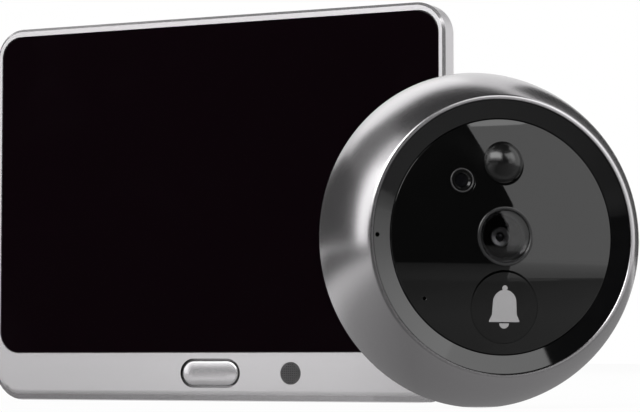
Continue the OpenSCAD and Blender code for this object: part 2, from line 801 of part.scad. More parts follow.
// Outline of a bell, middle at the button's middle
module bell_shape() {
    crown = [for (a = [0:10:180]) [2.4 * cos(a), 1.05 + 2.4 * sin(a)]];
    skirt = [[-2.55, -1.3], [-3.1, -2.45], [-3.1, -2.7], [3.1, -2.7], [3.1, -2.45], [2.55, -1.3]];
    translate([0, 3.75]) circle(r = 0.55);
    polygon(concat(crown, skirt));
    intersection() {
        translate([0, -2.95]) circle(r = 1);
        rect(-2, 2, -5, -2.95);
    }
}

module bell_button() {
    color([0.02, 0.02, 0.02]) on_unit() {
        difference() {
            intersection() {
                dome_solid(window_r, bell_flange);
                rod(0, -bell_y, bell_r, bell_flange, 5);
            }
            translate([0, -bell_y, 0]) slab(symbol_z, 5) bell_shape();
        }
        slab(bell_flange, window_back - 0.1)
            rect(-bell_r - bell_ear, bell_r + bell_ear, -bell_y - 3, -bell_y + 3);
        rod(0, -bell_y, stem_r, bell_foot, bell_flange + 0.1);
    }
}

module bell_symbol() {
    color([0.75, 0.75, 0.76]) on_unit() intersection() {
        dome_solid(window_r, window_back);
        translate([0, -bell_y, 0]) slab(symbol_z, 5) bell_shape();
    }
}

module bell_plunger() {
    color([0.85, 0.85, 0.82]) on_unit() rod(0, -bell_y, plunger_r, bell_foot - 1.7, bell_foot);
}

module bell_switch() {
    color([0.14, 0.14, 0.15]) on_unit() difference() {
        slab(cam_z, bell_foot - 0.8) rect(-3, 3, -bell_y - 3, -bell_y + 3);
        rod(0, -bell_y, plunger_r + slide, bell_foot - 1.9 - bell_travel, 0);
    }
}

// Lens
module lens_bezel() {
    color([0.06, 0.06, 0.065]) on_unit() rotate_extrude() polygon([
        [front_lens_r + 0.3, dome_z + lens_proud], [lens_r - 0.15, dome_z + lens_proud],
        [lens_r, dome_z + lens_proud - 0.15], [lens_r, window_back - 0.1],
        [lens_r + 0.35, window_back - 0.1], [lens_r + 0.35, window_back - 1],
        [barrel_r + 0.2, window_back - 1], [barrel_r + 0.2, lens_seat],
        [front_lens_r + thread, lens_seat], [front_lens_r + thread, dome_z]]);
}

module front_lens() {
    color([0.10, 0.12, 0.18]) on_unit() rotate_extrude() intersection() {
        translate([0, dome_z + lens_proud - lens_curve]) circle(r = lens_curve, $fn = 360);
        rect(0, front_lens_r, lens_seat, dome_z + 1);
    }
}

module lens_barrel() {
    color([0.05, 0.05, 0.05]) on_unit() difference() {
        rod(0, 0, barrel_r, holder_back + 1.2, lens_seat - 0.8);
        rod(0, 0, 2, holder_back, window_back - 1.8);
        rod(0, 0, 1.6, holder_back, 0);
        translate([0, 0, window_back - 0.6])
            cylinder(r1 = 2.2, r2 = barrel_r - 0.4, h = lens_seat - window_back);
    }
}

module lens_holder() {
    color([0.07, 0.07, 0.07]) on_unit() difference() {
        slab(holder_back, core_back) square(holder_w, center = true);
        rod(0, 0, barrel_r + thread, holder_back + 1.2, 0);
        rod(0, 0, barrel_r - 0.4, holder_back - 1, 0);
    }
}

module image_sensor() {
    color([0.15, 0.20, 0.26]) on_unit() slab(holder_back, holder_back + 0.7) rect(-2.4, 2.4, -2, 2);
}

module sensor_board() {
    color([0.04, 0.22, 0.14]) on_unit() slab(holder_back - 1, holder_back)
        square(module_w, center = true);
}

// Motion sensor under its dome
module motion_lens() {
    cap_r = (motion_r * motion_r + motion_h * motion_h) / (2 * motion_h);
    base_z = dome_z - dome_r + sqrt(dome_r * dome_r - motion_y * motion_y);
    color([0.03, 0.03, 0.03]) on_unit() translate([0, motion_y, 0]) rotate_extrude() difference() {
        union() {
            intersection() {
                translate([0, base_z + motion_h - cap_r]) circle(r = cap_r);
                rect(0, motion_r, base_z - 0.3, base_z + motion_h + 1);
            }
            rect(0, motion_r, window_back - 0.1, base_z);
            rect(0, motion_r + 0.8, window_back - 0.8, window_back);
        }
        intersection() {
            translate([0, base_z + motion_h - cap_r]) circle(r = cap_r - 0.7);
            rect(-1, motion_r - 0.7, base_z - 0.5, base_z + motion_h);
        }
        rect(-1, motion_r - 0.7, window_back - 1, base_z);
    }
}

module motion_sensor() {
    color([0.78, 0.74, 0.60]) on_unit() translate([0, motion_y, 0]) {
        difference() {
            rod(0, 0, 4.1, cam_z, window_back - 1.7);
            slab(window_back - 1.9, 0) rect(-2, 2, -1.5, 1.5);
        }
        rod(0, 0, 4.4, cam_z, cam_z + 0.5);
    }
}

module sensor_ring() {
    color([0.30, 0.30, 0.31]) on_unit() {
        difference() {
            dome_solid(window_r, window_back);
            difference() {
                rod(0, 0, 60, -9, 9);
                rod(-sensor_x, sensor_y, sensor_r, -8, 8);
            }
            rod(-sensor_x, sensor_y, guide_r + thread, -5, 5);
        }
        tube(-sensor_x, sensor_y, sensor_r + 0.6, guide_r + thread, window_back - 0.8, window_back);
    }
}

module light_guide() {
    color([0.04, 0.04, 0.05]) on_unit() rod(-sensor_x, sensor_y, guide_r, cam_z + 0.8, -0.3);
}

module light_sensor() {
    color([0.20, 0.20, 0.22]) on_unit() slab(cam_z, cam_z + 0.8)
        rect(-sensor_x - 1, -sensor_x + 1, sensor_y - 1, sensor_y + 1);
}

// Core frame: holds the window, the ring, the lens and the boards
module core_frame() {
    color([0.10, 0.10, 0.11]) on_unit() difference() {
        union() {
            rod(0, 0, core_r, core_back, shelf_z);
            rod(0, 0, lip_r - 0.15, shelf_z - 0.1, ring_seat);
            rod(0, 0, window_r, ring_seat - 0.1, window_back);
            for (a = cam_turns) rotate([0, 0, a]) rod(cam_post_r, 0, 1.7, cam_z, core_back + 0.1);
        }
        for (a = cam_turns) rotate([0, 0, a]) rod(cam_post_r, 0, 0.75, cam_z - 1, core_back + 1);
        for (a = led_turns) rotate([0, 0, a]) rod(led_r, 0, 1.5, core_back - 1, 0);
        rod(mic_hole_x, 0, 0.7, core_back - 1, 0);
        rod(0, 0, lens_r + 0.4, window_back - 1, 0);
        rod(0, 0, barrel_r + slide, core_back - 1, 0);
        rod(0, -bell_y, bell_r + slide, bell_flange - bell_travel - 0.3, 0);
        slab(bell_flange - bell_travel - 0.3, 0) rect(-bell_r - bell_ear - slide,
            bell_r + bell_ear + slide, -bell_y - 3 - slide, -bell_y + 3 + slide);
        rod(0, -bell_y, stem_r + slide, core_back - 1, 0);
        rod(0, motion_y, motion_r + 0.9, window_back - 0.8, 0);
        rod(0, motion_y, 4.5, core_back - 1, window_back - 1.2);
        rod(0, motion_y, motion_r - 0.5, core_back - 1, 0);
        rod(-sensor_x, sensor_y, sensor_r + 0.7, window_back - 0.8, 0);
        rod(-sensor_x, sensor_y, guide_r + thread, core_back - 1, 0);
    }
}

module led_board() {
    color([0.85, 0.86, 0.84]) on_unit() difference() {
        slab(led_z, core_back) difference() {
            circle(r = core_r - 0.3);
            circle(r = window_r + 0.3);
        }
        rod(mic_hole_x, 0, 0.6, led_z - 1, 0);
    }
}

module ring_leds() {
    color([0.93, 0.92, 0.80]) on_unit() for (a = led_turns) rotate([0, 0, a])
        slab(core_back, core_back + 0.8) rect(led_r - 0.9, led_r + 0.9, -0.9, 0.9);
}

module outdoor_mic() {
    color([0.75, 0.75, 0.70]) on_unit() difference() {
        slab(led_z - 1, led_z) rect(mic_hole_x - 1.15, mic_hole_x + 1.65, -1.9, 1.9);
        rod(mic_hole_x, 0, 0.4, led_z - 0.5, 0);
    }
}

module camera_board() {
    color([0.04, 0.26, 0.15]) on_unit() difference() {
        slab(cam_back, cam_z) difference() {
            circle(r = cam_r);
            square(module_w, center = true);
        }
        for (a = cam_turns) rotate([0, 0, a]) rod(cam_post_r, 0, 0.9, cam_back - 1, cam_z + 1);
    }
}

module camera_screws() {
    color([0.58, 0.58, 0.60]) on_unit()
        for (a = cam_turns) rotate([0, 0, a])
            screw(cam_post_r, 0, -cam_back, 0.75 - thread, board_t + 2, 1.5, 1);
}

module camera_chips() {
    color([0.07, 0.07, 0.08]) on_unit() {
        slab(cam_back - 1, cam_back) rect(8.2, 14.6, 2.6, 9.4);
        slab(cam_back - 1, cam_back) rect(-15, -9, -4, 4);
    }
}

module cable_plug() {
    color([0.88, 0.87, 0.82]) on_unit() difference() {
        slab(cam_back - 2.4, cam_back) rect(9, 16, -5, 1);
        slab(cam_back - 3, cam_back - 1) rect(9.6, 15.4, -4.2, 0.2);
    }
}

module outdoor_speaker() {
    color([0.12, 0.12, 0.13]) on_unit() {
        rod(0, speaker_y, 8, plate_z, plate_z + 1.6);
        rod(0, speaker_y, 5, plate_z + 1.5, plate_z + 2.3);
    }
}

// Back plate with the spigot that enters the door hole
module back_plate() {
    color([0.09, 0.09, 0.10]) on_unit() difference() {
        union() {
            rod(0, 0, plate_r, back_z, plate_z);
            rod(0, 0, spigot_r, back_z - spigot_l, back_z + 0.1);
        }
        for (x = [-1, 1]) rod(x * door_pcd / 2, 0, thread_r, back_z - spigot_l - 1, back_z + 0.4);
        rod(0, gland_y, gland_r, back_z - spigot_l - 1, plate_z + 1);
        for (a = boss_turns) rotate([0, 0, a]) {
            rod(boss_at, 0, boss_bore + 0.2, back_z - 1, 0);
            rod(boss_at, 0, 2.6, back_z - 1, back_z + 0.8);
        }
    }
}

module seal_ring() {
    color([0.05, 0.05, 0.05]) on_unit() tube(0, 0, plate_r, plate_r - 0.9, plate_z, ledge_z);
}

module plate_screws() {
    color([0.58, 0.58, 0.60]) on_unit() for (a = boss_turns) rotate([0, 0, a])
        screw(boss_at, 0, -back_z - 0.8, boss_bore - thread, 5.2, 2.2, 0.7);
}

module cable_gland() {
    color([0.06, 0.06, 0.06]) on_unit() {
        tube(0, gland_y, gland_r, 1.6, back_z - spigot_l, plate_z);
        tube(0, gland_y, gland_r + 0.6, 1.6, plate_z, plate_z + 1);
    }
}

module door_gasket() {
    color([0.07, 0.07, 0.075]) on_unit()
        tube(0, 0, plate_r - 0.6, spigot_r + 1.5, back_z - gasket_t, back_z);
}

front_frame();
cover_glass();
glass_tape();
lcd_panel();
chassis_plate();
chassis_screws();
home_button();
home_plunger();
home_switch();
button_board();
mic_mesh();
mic_boot();
mic_capsule();
main_board();
board_screws();
processor_shield();
usb_socket();
card_socket();
camera_socket();
battery_pad();
battery_pack();
speaker();
speaker_gasket();
wifi_antenna();
back_cover();
cover_screws();
bracket_plate();
bracket_studs();
housing();
light_ring();
front_window();
bell_button();
bell_symbol();
bell_plunger();
bell_switch();
lens_bezel();
front_lens();
lens_barrel();
lens_holder();
image_sensor();
sensor_board();
motion_lens();
motion_sensor();
sensor_ring();
light_guide();
light_sensor();
core_frame();
led_board();
ring_leds();
outdoor_mic();
camera_board();
camera_screws();
camera_chips();
cable_plug();
outdoor_speaker();
back_plate();
seal_ring();
plate_screws();
cable_gland();
door_gasket();
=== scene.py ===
import math
import bmesh
import bpy
from mathutils import Matrix, Vector


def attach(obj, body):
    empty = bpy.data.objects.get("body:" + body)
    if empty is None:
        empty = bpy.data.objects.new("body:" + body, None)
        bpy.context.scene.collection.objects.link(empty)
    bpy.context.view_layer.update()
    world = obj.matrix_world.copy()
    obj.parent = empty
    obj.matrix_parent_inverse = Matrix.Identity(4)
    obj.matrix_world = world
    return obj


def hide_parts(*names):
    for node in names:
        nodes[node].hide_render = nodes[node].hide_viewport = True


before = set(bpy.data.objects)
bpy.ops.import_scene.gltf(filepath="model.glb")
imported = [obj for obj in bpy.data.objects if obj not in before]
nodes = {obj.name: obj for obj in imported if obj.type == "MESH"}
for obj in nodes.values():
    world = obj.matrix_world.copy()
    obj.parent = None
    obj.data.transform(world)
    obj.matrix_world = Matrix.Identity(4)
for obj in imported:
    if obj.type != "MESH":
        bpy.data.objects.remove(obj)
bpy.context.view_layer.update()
print("frame loaded:", len(nodes), "nodes")

# pieces are drawn in millimetres in their own frame, then set in place in metres
milli = Matrix.Diagonal((0.001, 0.001, 0.001, 1))
monitorPlace = Matrix.Translation((0, -0.00975, 0)) @ milli    # x right, y into the case, z up
unitTurn = Matrix.Rotation(math.radians(43), 4, "Z") @ Matrix.Rotation(math.radians(90), 4, "X")
unitPlace = Matrix.Translation((0.0923, -0.06245, 0.033)) @ unitTurn @ milli    # x right, y up, z forward
over = 1    # how far a cutting tool passes the faces that it cuts
weld = 0.002    # points of a turned piece nearer than this become one


# handling

def clearPicks():
    active = bpy.context.view_layer.objects.active
    if active and active.mode != "OBJECT":
        bpy.ops.object.mode_set(mode="OBJECT")
    bpy.ops.object.select_all(action="DESELECT")


def only(obj):
    clearPicks()
    obj.select_set(True)
    bpy.context.view_layer.objects.active = obj


def edit(obj):
    only(obj)
    bpy.ops.object.mode_set(mode="EDIT")


def pickAll():
    bpy.ops.mesh.select_all(action="SELECT")


def pick(obj, kind, wanted):    # edit mode, with the wanted faces, edges or points selected
    edit(obj)
    bpy.ops.mesh.select_mode(type=kind)
    bpy.ops.mesh.select_all(action="DESELECT")
    mesh = bmesh.from_edit_mesh(obj.data)
    parts = {"VERT": mesh.verts, "EDGE": mesh.edges, "FACE": mesh.faces}[kind]
    for part in parts:
        if wanted(part):
            part.select_set(True)
    mesh.select_flush_mode()
    bmesh.update_edit_mesh(obj.data)


def done():
    bpy.ops.object.mode_set(mode="OBJECT")


def fixPlace():    # the active object's place goes into its mesh
    bpy.ops.object.transform_apply(location=True, rotation=True, scale=True)


def block(name, low, high):
    clearPicks()
    bpy.ops.mesh.primitive_cube_add(size=1, location=[(a + b) / 2 for a, b in zip(low, high)])
    obj = bpy.context.object
    obj.name = name
    obj.scale = [b - a for a, b in zip(low, high)]
    fixPlace()
    return obj


def roundBlock(name, low, high, radius, steps=12):    # corners rounded along y
    obj = block(name, low, high)
    pick(obj, "EDGE", lambda e: abs((e.verts[0].co - e.verts[1].co).normalized().y) > 0.9)
    bpy.ops.mesh.bevel(offset=radius, segments=steps, affect="EDGES")
    done()
    return obj


def drum(name, centre, radius, low, high, steps, axis="Z"):
    clearPicks()
    if axis == "Z":
        spot, turn = (centre[0], centre[1], (low + high) / 2), (0, 0, 0)
    else:
        spot, turn = (centre[0], (low + high) / 2, centre[1]), (math.pi / 2, 0, 0)
    bpy.ops.mesh.primitive_cylinder_add(vertices=steps, radius=radius, depth=high - low,
                                        location=spot, rotation=turn)
    obj = bpy.context.object
    obj.name = name
    fixPlace()
    return obj


def chain(name, points):    # edges through the points, selected in edit mode
    clearPicks()
    bpy.ops.mesh.primitive_plane_add(size=1, location=points[0])
    obj = bpy.context.object
    obj.name = name
    fixPlace()
    edit(obj)
    bpy.ops.mesh.select_mode(type="VERT")
    bpy.ops.mesh.merge(type="CENTER")
    for near, far in zip(points, points[1:]):
        move = [b - a for a, b in zip(near, far)]
        bpy.ops.mesh.extrude_vertices_move(TRANSFORM_OT_translate={"value": move})
    pickAll()
    return obj


def faceOut():    # all faces look outwards, and edit mode ends
    pickAll()
    bpy.ops.mesh.normals_make_consistent(inside=False)
    done()


def turned(name, profile, steps):    # profile points are (radius, height)
    obj = chain(name, [(radius, 0, height) for radius, height in profile])
    bpy.ops.mesh.spin(steps=steps, angle=2 * math.pi, center=(0, 0, 0), axis=(0, 0, 1))
    pickAll()
    bpy.ops.mesh.remove_doubles(threshold=weld)
    faceOut()
    return obj


def outlined(name, points, low, high):    # a closed outline in x and y, pulled up along z
    obj = chain(name, [(x, y, low) for x, y in points])
    bpy.ops.mesh.edge_face_add()
    bpy.ops.mesh.extrude_region_move(TRANSFORM_OT_translate={"value": (0, 0, high - low)})
    faceOut()
    return obj


def around(turn, radius):
    return radius * math.cos(math.radians(turn)), radius * math.sin(math.radians(turn))


def shares(count):    # even steps from 0 to 1
    return [i / count for i in range(count + 1)]


def stadiumPoints(size, steps=16):
    reach, tall = (size[0] - size[1]) / 2, size[1] / 2
    ends = []
    for side, first in ((1, -90), (-1, 90)):
        for t in shares(steps):
            x, y = around(first + 180 * t, tall)
            ends.append((side * reach + x, y))
    return ends


def standUp(obj, high):    # drawn lying on its back: height in y becomes height in z
    only(obj)
    obj.rotation_euler = (math.pi / 2, 0, 0)
    obj.location = (0, 0, high)
    fixPlace()
    return obj


def shift(obj, spot):
    only(obj)
    obj.location = spot
    fixPlace()
    return obj


def swing(obj, turn):    # about z
    only(obj)
    obj.rotation_euler = (0, 0, math.radians(turn))
    fixPlace()
    return obj


def carve(target, tool, how="DIFFERENCE"):
    only(target)
    step = target.modifiers.new("carve", "BOOLEAN")
    step.operation = how
    step.solver = "EXACT"
    step.object = tool
    bpy.ops.object.modifier_apply(modifier=step.name)
    bpy.data.objects.remove(tool)


def soften(obj, width, steps, angle=40):    # small rounded edges with clean highlights
    only(obj)
    edge = obj.modifiers.new("edge", "BEVEL")
    edge.width = width
    edge.segments = steps
    edge.limit_method = "ANGLE"
    edge.angle_limit = math.radians(angle)
    bpy.ops.object.modifier_apply(modifier=edge.name)


def smooth(obj, angle=35, weighted=True):
    only(obj)
    bpy.ops.object.shade_smooth_by_angle(angle=math.radians(angle))
    if weighted:
        even = obj.modifiers.new("even", "WEIGHTED_NORMAL")
        even.keep_sharp = True
        even.weight = 80
        bpy.ops.object.modifier_apply(modifier=even.name)


def join(pieces, name):
    clearPicks()
    for piece in pieces:
        piece.select_set(True)
    bpy.context.view_layer.objects.active = pieces[0]
    bpy.ops.object.join()
    pieces[0].name = name
    return pieces[0]


def settle(obj, place):    # into the shared frame, with the place in the mesh
    only(obj)
    obj.matrix_world = place
    fixPlace()
    return obj


def hand(obj, finish, body, slot, *stands):
    obj.data.name = obj.name
    obj.data.materials.clear()
    obj.data.materials.append(finish)
    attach(obj, body)
    if stands:
        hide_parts(*stands)


# finishes

def newGroup(name, inputs, outputs):    # sockets by label and kind
    group = bpy.data.node_groups.new(name, "ShaderNodeTree")
    for way, sockets in (("INPUT", inputs), ("OUTPUT", outputs)):
        for label, kind in sockets.items():
            group.interface.new_socket(name=label, in_out=way, socket_type=kind)
    return group, group.nodes.new("NodeGroupInput").outputs, group.nodes.new("NodeGroupOutput").inputs


def sums(tree, kind, first, second, third=None):
    node = tree.nodes.new("ShaderNodeMath")
    node.operation = kind
    for socket, value in zip(node.inputs, (first, second, third)):
        if value is None:
            continue
        if isinstance(value, (int, float)):
            socket.default_value = value
        else:
            tree.links.new(value, socket)
    return node.outputs[0]


def noise(tree, vector, scale, detail=3.0, kind="ShaderNodeTexNoise"):
    node = tree.nodes.new(kind)
    tree.links.new(vector, node.inputs["Vector"])
    if isinstance(scale, (int, float)):
        node.inputs["Scale"].default_value = scale
    else:
        tree.links.new(scale, node.inputs["Scale"])
    if "Detail" in node.inputs:
        node.inputs["Detail"].default_value = detail
    return node


def blendColour(tree, amount, first, second):
    node = tree.nodes.new("ShaderNodeMix")
    node.data_type = "RGBA"
    for socket, value in ((node.inputs[0], amount), (node.inputs[6], first), (node.inputs[7], second)):
        if isinstance(value, bpy.types.NodeSocket):
            tree.links.new(value, socket)
        elif isinstance(value, (int, float)):
            socket.default_value = value
        else:
            socket.default_value = (*value[:3], 1)
    return node.outputs[2]


colourKind, numberKind, vectorKind = "NodeSocketColor", "NodeSocketFloat", "NodeSocketVector"


def makeGrain():    # fine moulded or blasted surface: speckle, slow tone drift and uneven gloss
    tree, given, made = newGroup("surfaceGrain", {
        "Vector": vectorKind, "Colour": colourKind, "Scale": numberKind, "Speckle": numberKind,
        "Drift": numberKind, "Gloss": numberKind, "Uneven": numberKind},
        {"Colour": colourKind, "Roughness": numberKind, "Height": numberKind})
    fine = noise(tree, given["Vector"], given["Scale"], 2.0).outputs["Fac"]
    slow = noise(tree, given["Vector"], 45.0, 3.0).outputs["Fac"]
    speckle = sums(tree, "MULTIPLY", sums(tree, "SUBTRACT", fine, 0.5), given["Speckle"])
    drift = sums(tree, "MULTIPLY", sums(tree, "SUBTRACT", slow, 0.5), given["Drift"])
    level = sums(tree, "ADD", sums(tree, "ADD", speckle, drift), 1.0)
    tinted = tree.nodes.new("ShaderNodeVectorMath")
    tinted.operation = "SCALE"
    tree.links.new(given["Colour"], tinted.inputs[0])
    tree.links.new(level, tinted.inputs["Scale"])
    tree.links.new(tinted.outputs[0], made["Colour"])
    mixed = sums(tree, "ADD", sums(tree, "MULTIPLY", fine, 0.4), sums(tree, "MULTIPLY", slow, 0.6))
    uneven = sums(tree, "MULTIPLY", sums(tree, "SUBTRACT", mixed, 0.5), given["Uneven"])
    tree.links.new(sums(tree, "ADD", given["Gloss"], uneven), made["Roughness"])
    tree.links.new(fine, made["Height"])
    return tree


def makeSmudges():    # faint wiping marks and dust on glass and polished black
    tree, given, made = newGroup("smudges", {
        "Vector": vectorKind, "Clean": numberKind, "Smudged": numberKind, "Size": numberKind},
        {"Roughness": numberKind, "Mask": numberKind})
    cloud = noise(tree, given["Vector"], given["Size"], 5.0)
    cloud.inputs["Distortion"].default_value = 1.4
    ramp = tree.nodes.new("ShaderNodeMapRange")
    ramp.inputs["From Min"].default_value = 0.52
    ramp.inputs["From Max"].default_value = 0.78
    tree.links.new(cloud.outputs["Fac"], ramp.inputs["Value"])
    spread = sums(tree, "SUBTRACT", given["Smudged"], given["Clean"])
    rough = sums(tree, "MULTIPLY_ADD", ramp.outputs[0], spread, given["Clean"])
    tree.links.new(rough, made["Roughness"])
    tree.links.new(ramp.outputs[0], made["Mask"])
    return tree


grainGroup = makeGrain()
smudgeGroup = makeSmudges()


def newFinish(name, **fixed):    # fixed: the shader's own constant sockets
    finish = bpy.data.materials.new(name)
    finish.use_nodes = True
    tree = finish.node_tree
    shader = tree.nodes["Principled BSDF"]
    for label, value in fixed.items():
        shader.inputs[label.replace("_", " ")].default_value = value
    where = tree.nodes.new("ShaderNodeTexCoord").outputs["Object"]
    return finish, tree, shader, where


def stretch(tree, vector, scale):
    node = tree.nodes.new("ShaderNodeMapping")
    node.inputs["Scale"].default_value = scale
    tree.links.new(vector, node.inputs["Vector"])
    return node.outputs[0]


def bump(tree, shader, height, strength, distance):
    node = tree.nodes.new("ShaderNodeBump")
    node.inputs["Strength"].default_value = strength
    node.inputs["Distance"].default_value = distance
    tree.links.new(height, node.inputs["Height"])
    tree.links.new(node.outputs[0], shader.inputs["Normal"])


def grained(name, colour, gloss, scale=4000.0, speckle=0.1, drift=0.06, uneven=0.1, relief=0.15,
            lengths=(1, 1, 1), distance=0.00002, **fixed):
    finish, tree, shader, where = newFinish(name, **fixed)
    vector = stretch(tree, where, lengths) if lengths != (1, 1, 1) else where
    node = tree.nodes.new("ShaderNodeGroup")
    node.node_tree = grainGroup
    tree.links.new(vector, node.inputs["Vector"])
    node.inputs["Colour"].default_value = (*colour, 1)
    for label, value in (("Scale", scale), ("Speckle", speckle), ("Drift", drift), ("Gloss", gloss),
                         ("Uneven", uneven)):
        node.inputs[label].default_value = value
    tree.links.new(node.outputs["Colour"], shader.inputs["Base Color"])
    tree.links.new(node.outputs["Roughness"], shader.inputs["Roughness"])
    if relief:
        bump(tree, shader, node.outputs["Height"], relief, distance)
    return finish


def polished(name, colour, clean, smudged, size, dust, **fixed):
    finish, tree, shader, where = newFinish(name, **fixed)
    node = tree.nodes.new("ShaderNodeGroup")
    node.node_tree = smudgeGroup
    tree.links.new(where, node.inputs["Vector"])
    for label, value in (("Clean", clean), ("Smudged", smudged), ("Size", size)):
        node.inputs[label].default_value = value
    tree.links.new(node.outputs["Roughness"], shader.inputs["Roughness"])
    pale = [c + dust for c in colour]
    tree.links.new(blendColour(tree, node.outputs["Mask"], colour, pale), shader.inputs["Base Color"])
    return finish


silver = grained("satinSilver", (0.71, 0.695, 0.71), 0.44, scale=5200.0, speckle=0.05, drift=0.03,
                 uneven=0.06, relief=0.08, Metallic=0.8)


def markedZones(finish, gloss, gapShade):    # red marks the polished edge, green the walls of the gap round the key, painted dark as shade
    tree = finish.node_tree
    shader = tree.nodes["Principled BSDF"]
    zones = tree.nodes.new("ShaderNodeAttribute")
    zones.attribute_name = "zones"
    split = tree.nodes.new("ShaderNodeSeparateColor")
    tree.links.new(zones.outputs["Color"], split.inputs[0])
    rough = shader.inputs["Roughness"].links[0].from_socket
    pull = sums(tree, "MULTIPLY", sums(tree, "SUBTRACT", gloss, rough), split.outputs["Red"])
    tree.links.new(sums(tree, "ADD", rough, pull), shader.inputs["Roughness"])
    plain = shader.inputs["Base Color"].links[0].from_socket
    tree.links.new(blendColour(tree, split.outputs["Green"], plain, gapShade), shader.inputs["Base Color"])


# the walls of the gap round the key are painted near black, as shade
markedZones(silver, 0.18, (0.03, 0.03, 0.03))
silverKey = grained("keySilver", (0.75, 0.734, 0.75), 0.24, scale=5200.0, speckle=0.05, drift=0.03,
                    uneven=0.06, relief=0.05, Metallic=0.85)
coverGrey = grained("coverGrey", (0.56, 0.57, 0.58), 0.5, scale=2600.0, speckle=0.12, drift=0.05,
                    uneven=0.12, relief=0.3, distance=0.00003)
housingMetal = grained("blastedMetal", (0.53, 0.518, 0.53), 0.235, scale=5200.0, uneven=0.08,
                       relief=0.06, Metallic=1.0)
screenGlass = polished("screenGlass", (0.0026, 0.0007, 0.0017), 0.02, 0.06, 40.0, 0.0004, IOR=1.5)
windowGloss = polished("windowGloss", (0.002, 0.002, 0.002), 0.02, 0.06, 90.0, 0.001, IOR=1.75)
ringSmoke = polished("smokedRing", (0.003, 0.003, 0.0032), 0.04, 0.08, 120.0, 0.001, IOR=1.65)
keyGloss = polished("keyGloss", (0.003, 0.003, 0.003), 0.03, 0.1, 200.0, 0.001, IOR=1.65)
bezelBlack = grained("bezelBlack", (0.012, 0.012, 0.0125), 0.2, scale=6000.0, speckle=0.2, drift=0.1,
                     uneven=0.06, relief=0.05, IOR=1.7)
domeBlack = polished("domeBlack", (0.003, 0.003, 0.003), 0.21, 0.26, 300.0, 0.001, IOR=1.65)
symbolGrey = grained("symbolGrey", (0.33, 0.325, 0.33), 0.32, speckle=0.06, drift=0.05, uneven=0.08,
                     relief=0.04)
sensorBlack = grained("sensorBlack", (0.003, 0.003, 0.003), 0.12, scale=6000.0, speckle=0.2, drift=0.1,
                      uneven=0.06, relief=0.04)
trimGrey = grained("trimGrey", (0.03, 0.029, 0.03), 0.3, scale=6000.0, drift=0.1, relief=0.04)
lensGlass = polished("lensGlass", (0.42, 0.42, 0.43), 0.01, 0.03, 300.0, 0.0, IOR=1.52,
                     Transmission_Weight=1.0)
innerGlass = polished("innerGlass", (0.004, 0.004, 0.006), 0.03, 0.06, 500.0, 0.001, IOR=1.6)
guideBlack = polished("guideBlack", (0.002, 0.002, 0.0025), 0.12, 0.2, 500.0, 0.001, IOR=1.25)
retainerGrey = grained("retainerGrey", (0.3, 0.3, 0.3), 0.3, scale=5000.0, drift=0.1, relief=0.05,
                       Metallic=0.9)
flockBlack = grained("flockBlack", (0.004, 0.004, 0.004), 0.9, speckle=0.4, drift=0.2, relief=0.3,
                     Specular_IOR_Level=0.05)
blackPlastic = grained("blackPlastic", (0.022, 0.022, 0.024), 0.5, scale=3000.0, speckle=0.3, drift=0.15,
                       uneven=0.15, relief=0.35, distance=0.00003)
meshCloth = grained("meshCloth", (0.06, 0.058, 0.06), 0.6, scale=9000.0, speckle=0.3, drift=0.1,
                    relief=0.2)
rubber = grained("rubber", (0.03, 0.03, 0.031), 0.75, scale=2200.0, speckle=0.25, drift=0.2, uneven=0.12,
                 relief=0.3, distance=0.00004)
foam = grained("closedFoam", (0.045, 0.045, 0.048), 0.9, scale=1500.0, speckle=0.7, drift=0.2,
               relief=0.8, distance=0.00015)
sheetSteel = grained("platedSteel", (0.55, 0.56, 0.58), 0.34, scale=900.0, speckle=0.14, drift=0.16,
                     uneven=0.2, relief=0.08, lengths=(0.12, 1, 6), Metallic=1.0)
screwSteel = grained("screwSteel", (0.45, 0.45, 0.47), 0.3, scale=2500.0, speckle=0.15, drift=0.2,
                     uneven=0.2, relief=0.1, Metallic=1.0)
copper = grained("copperFoil", (0.72, 0.44, 0.2), 0.35, scale=1200.0, drift=0.2, uneven=0.2,
                 relief=0.25, distance=0.00005, Metallic=1.0)
cellFoil = grained("cellFoil", (0.26, 0.31, 0.42), 0.3, scale=420.0, speckle=0.2, drift=0.2, uneven=0.2,
                   relief=0.5, distance=0.00012, Metallic=0.7)
displayGlass = polished("displayGlass", (0.02, 0.022, 0.026), 0.2, 0.3, 50.0, 0.004)
connectorWhite = grained("connectorWhite", (0.72, 0.70, 0.64), 0.45, scale=3000.0, speckle=0.06)
lampClear = polished("lampClear", (0.8, 0.76, 0.5), 0.1, 0.2, 900.0, 0.0)


def boardFinish():    # green solder mask with copper tracks under it
    finish, tree, shader, where = newFinish("solderMask")
    tracks = noise(tree, stretch(tree, where, (1, 0.2, 1)), 900.0, kind="ShaderNodeTexVoronoi")
    tracks.distance = "MANHATTAN"
    tracks.feature = "F2"
    mask = tree.nodes.new("ShaderNodeMapRange")
    mask.inputs["From Min"].default_value = 0.55
    mask.inputs["From Max"].default_value = 0.62
    tree.links.new(tracks.outputs["Distance"], mask.inputs["Value"])
    colour = blendColour(tree, mask.outputs[0], (0.010, 0.075, 0.035), (0.02, 0.13, 0.06))
    tree.links.new(colour, shader.inputs["Base Color"])
    gloss = sums(tree, "MULTIPLY_ADD", mask.outputs[0], -0.1, 0.38)
    tree.links.new(gloss, shader.inputs["Roughness"])
    bump(tree, shader, mask.outputs[0], 0.2, 0.00003)
    return finish


boardGreen = boardFinish()
print("finishes made:", len(bpy.data.materials))

# monitor: front frame

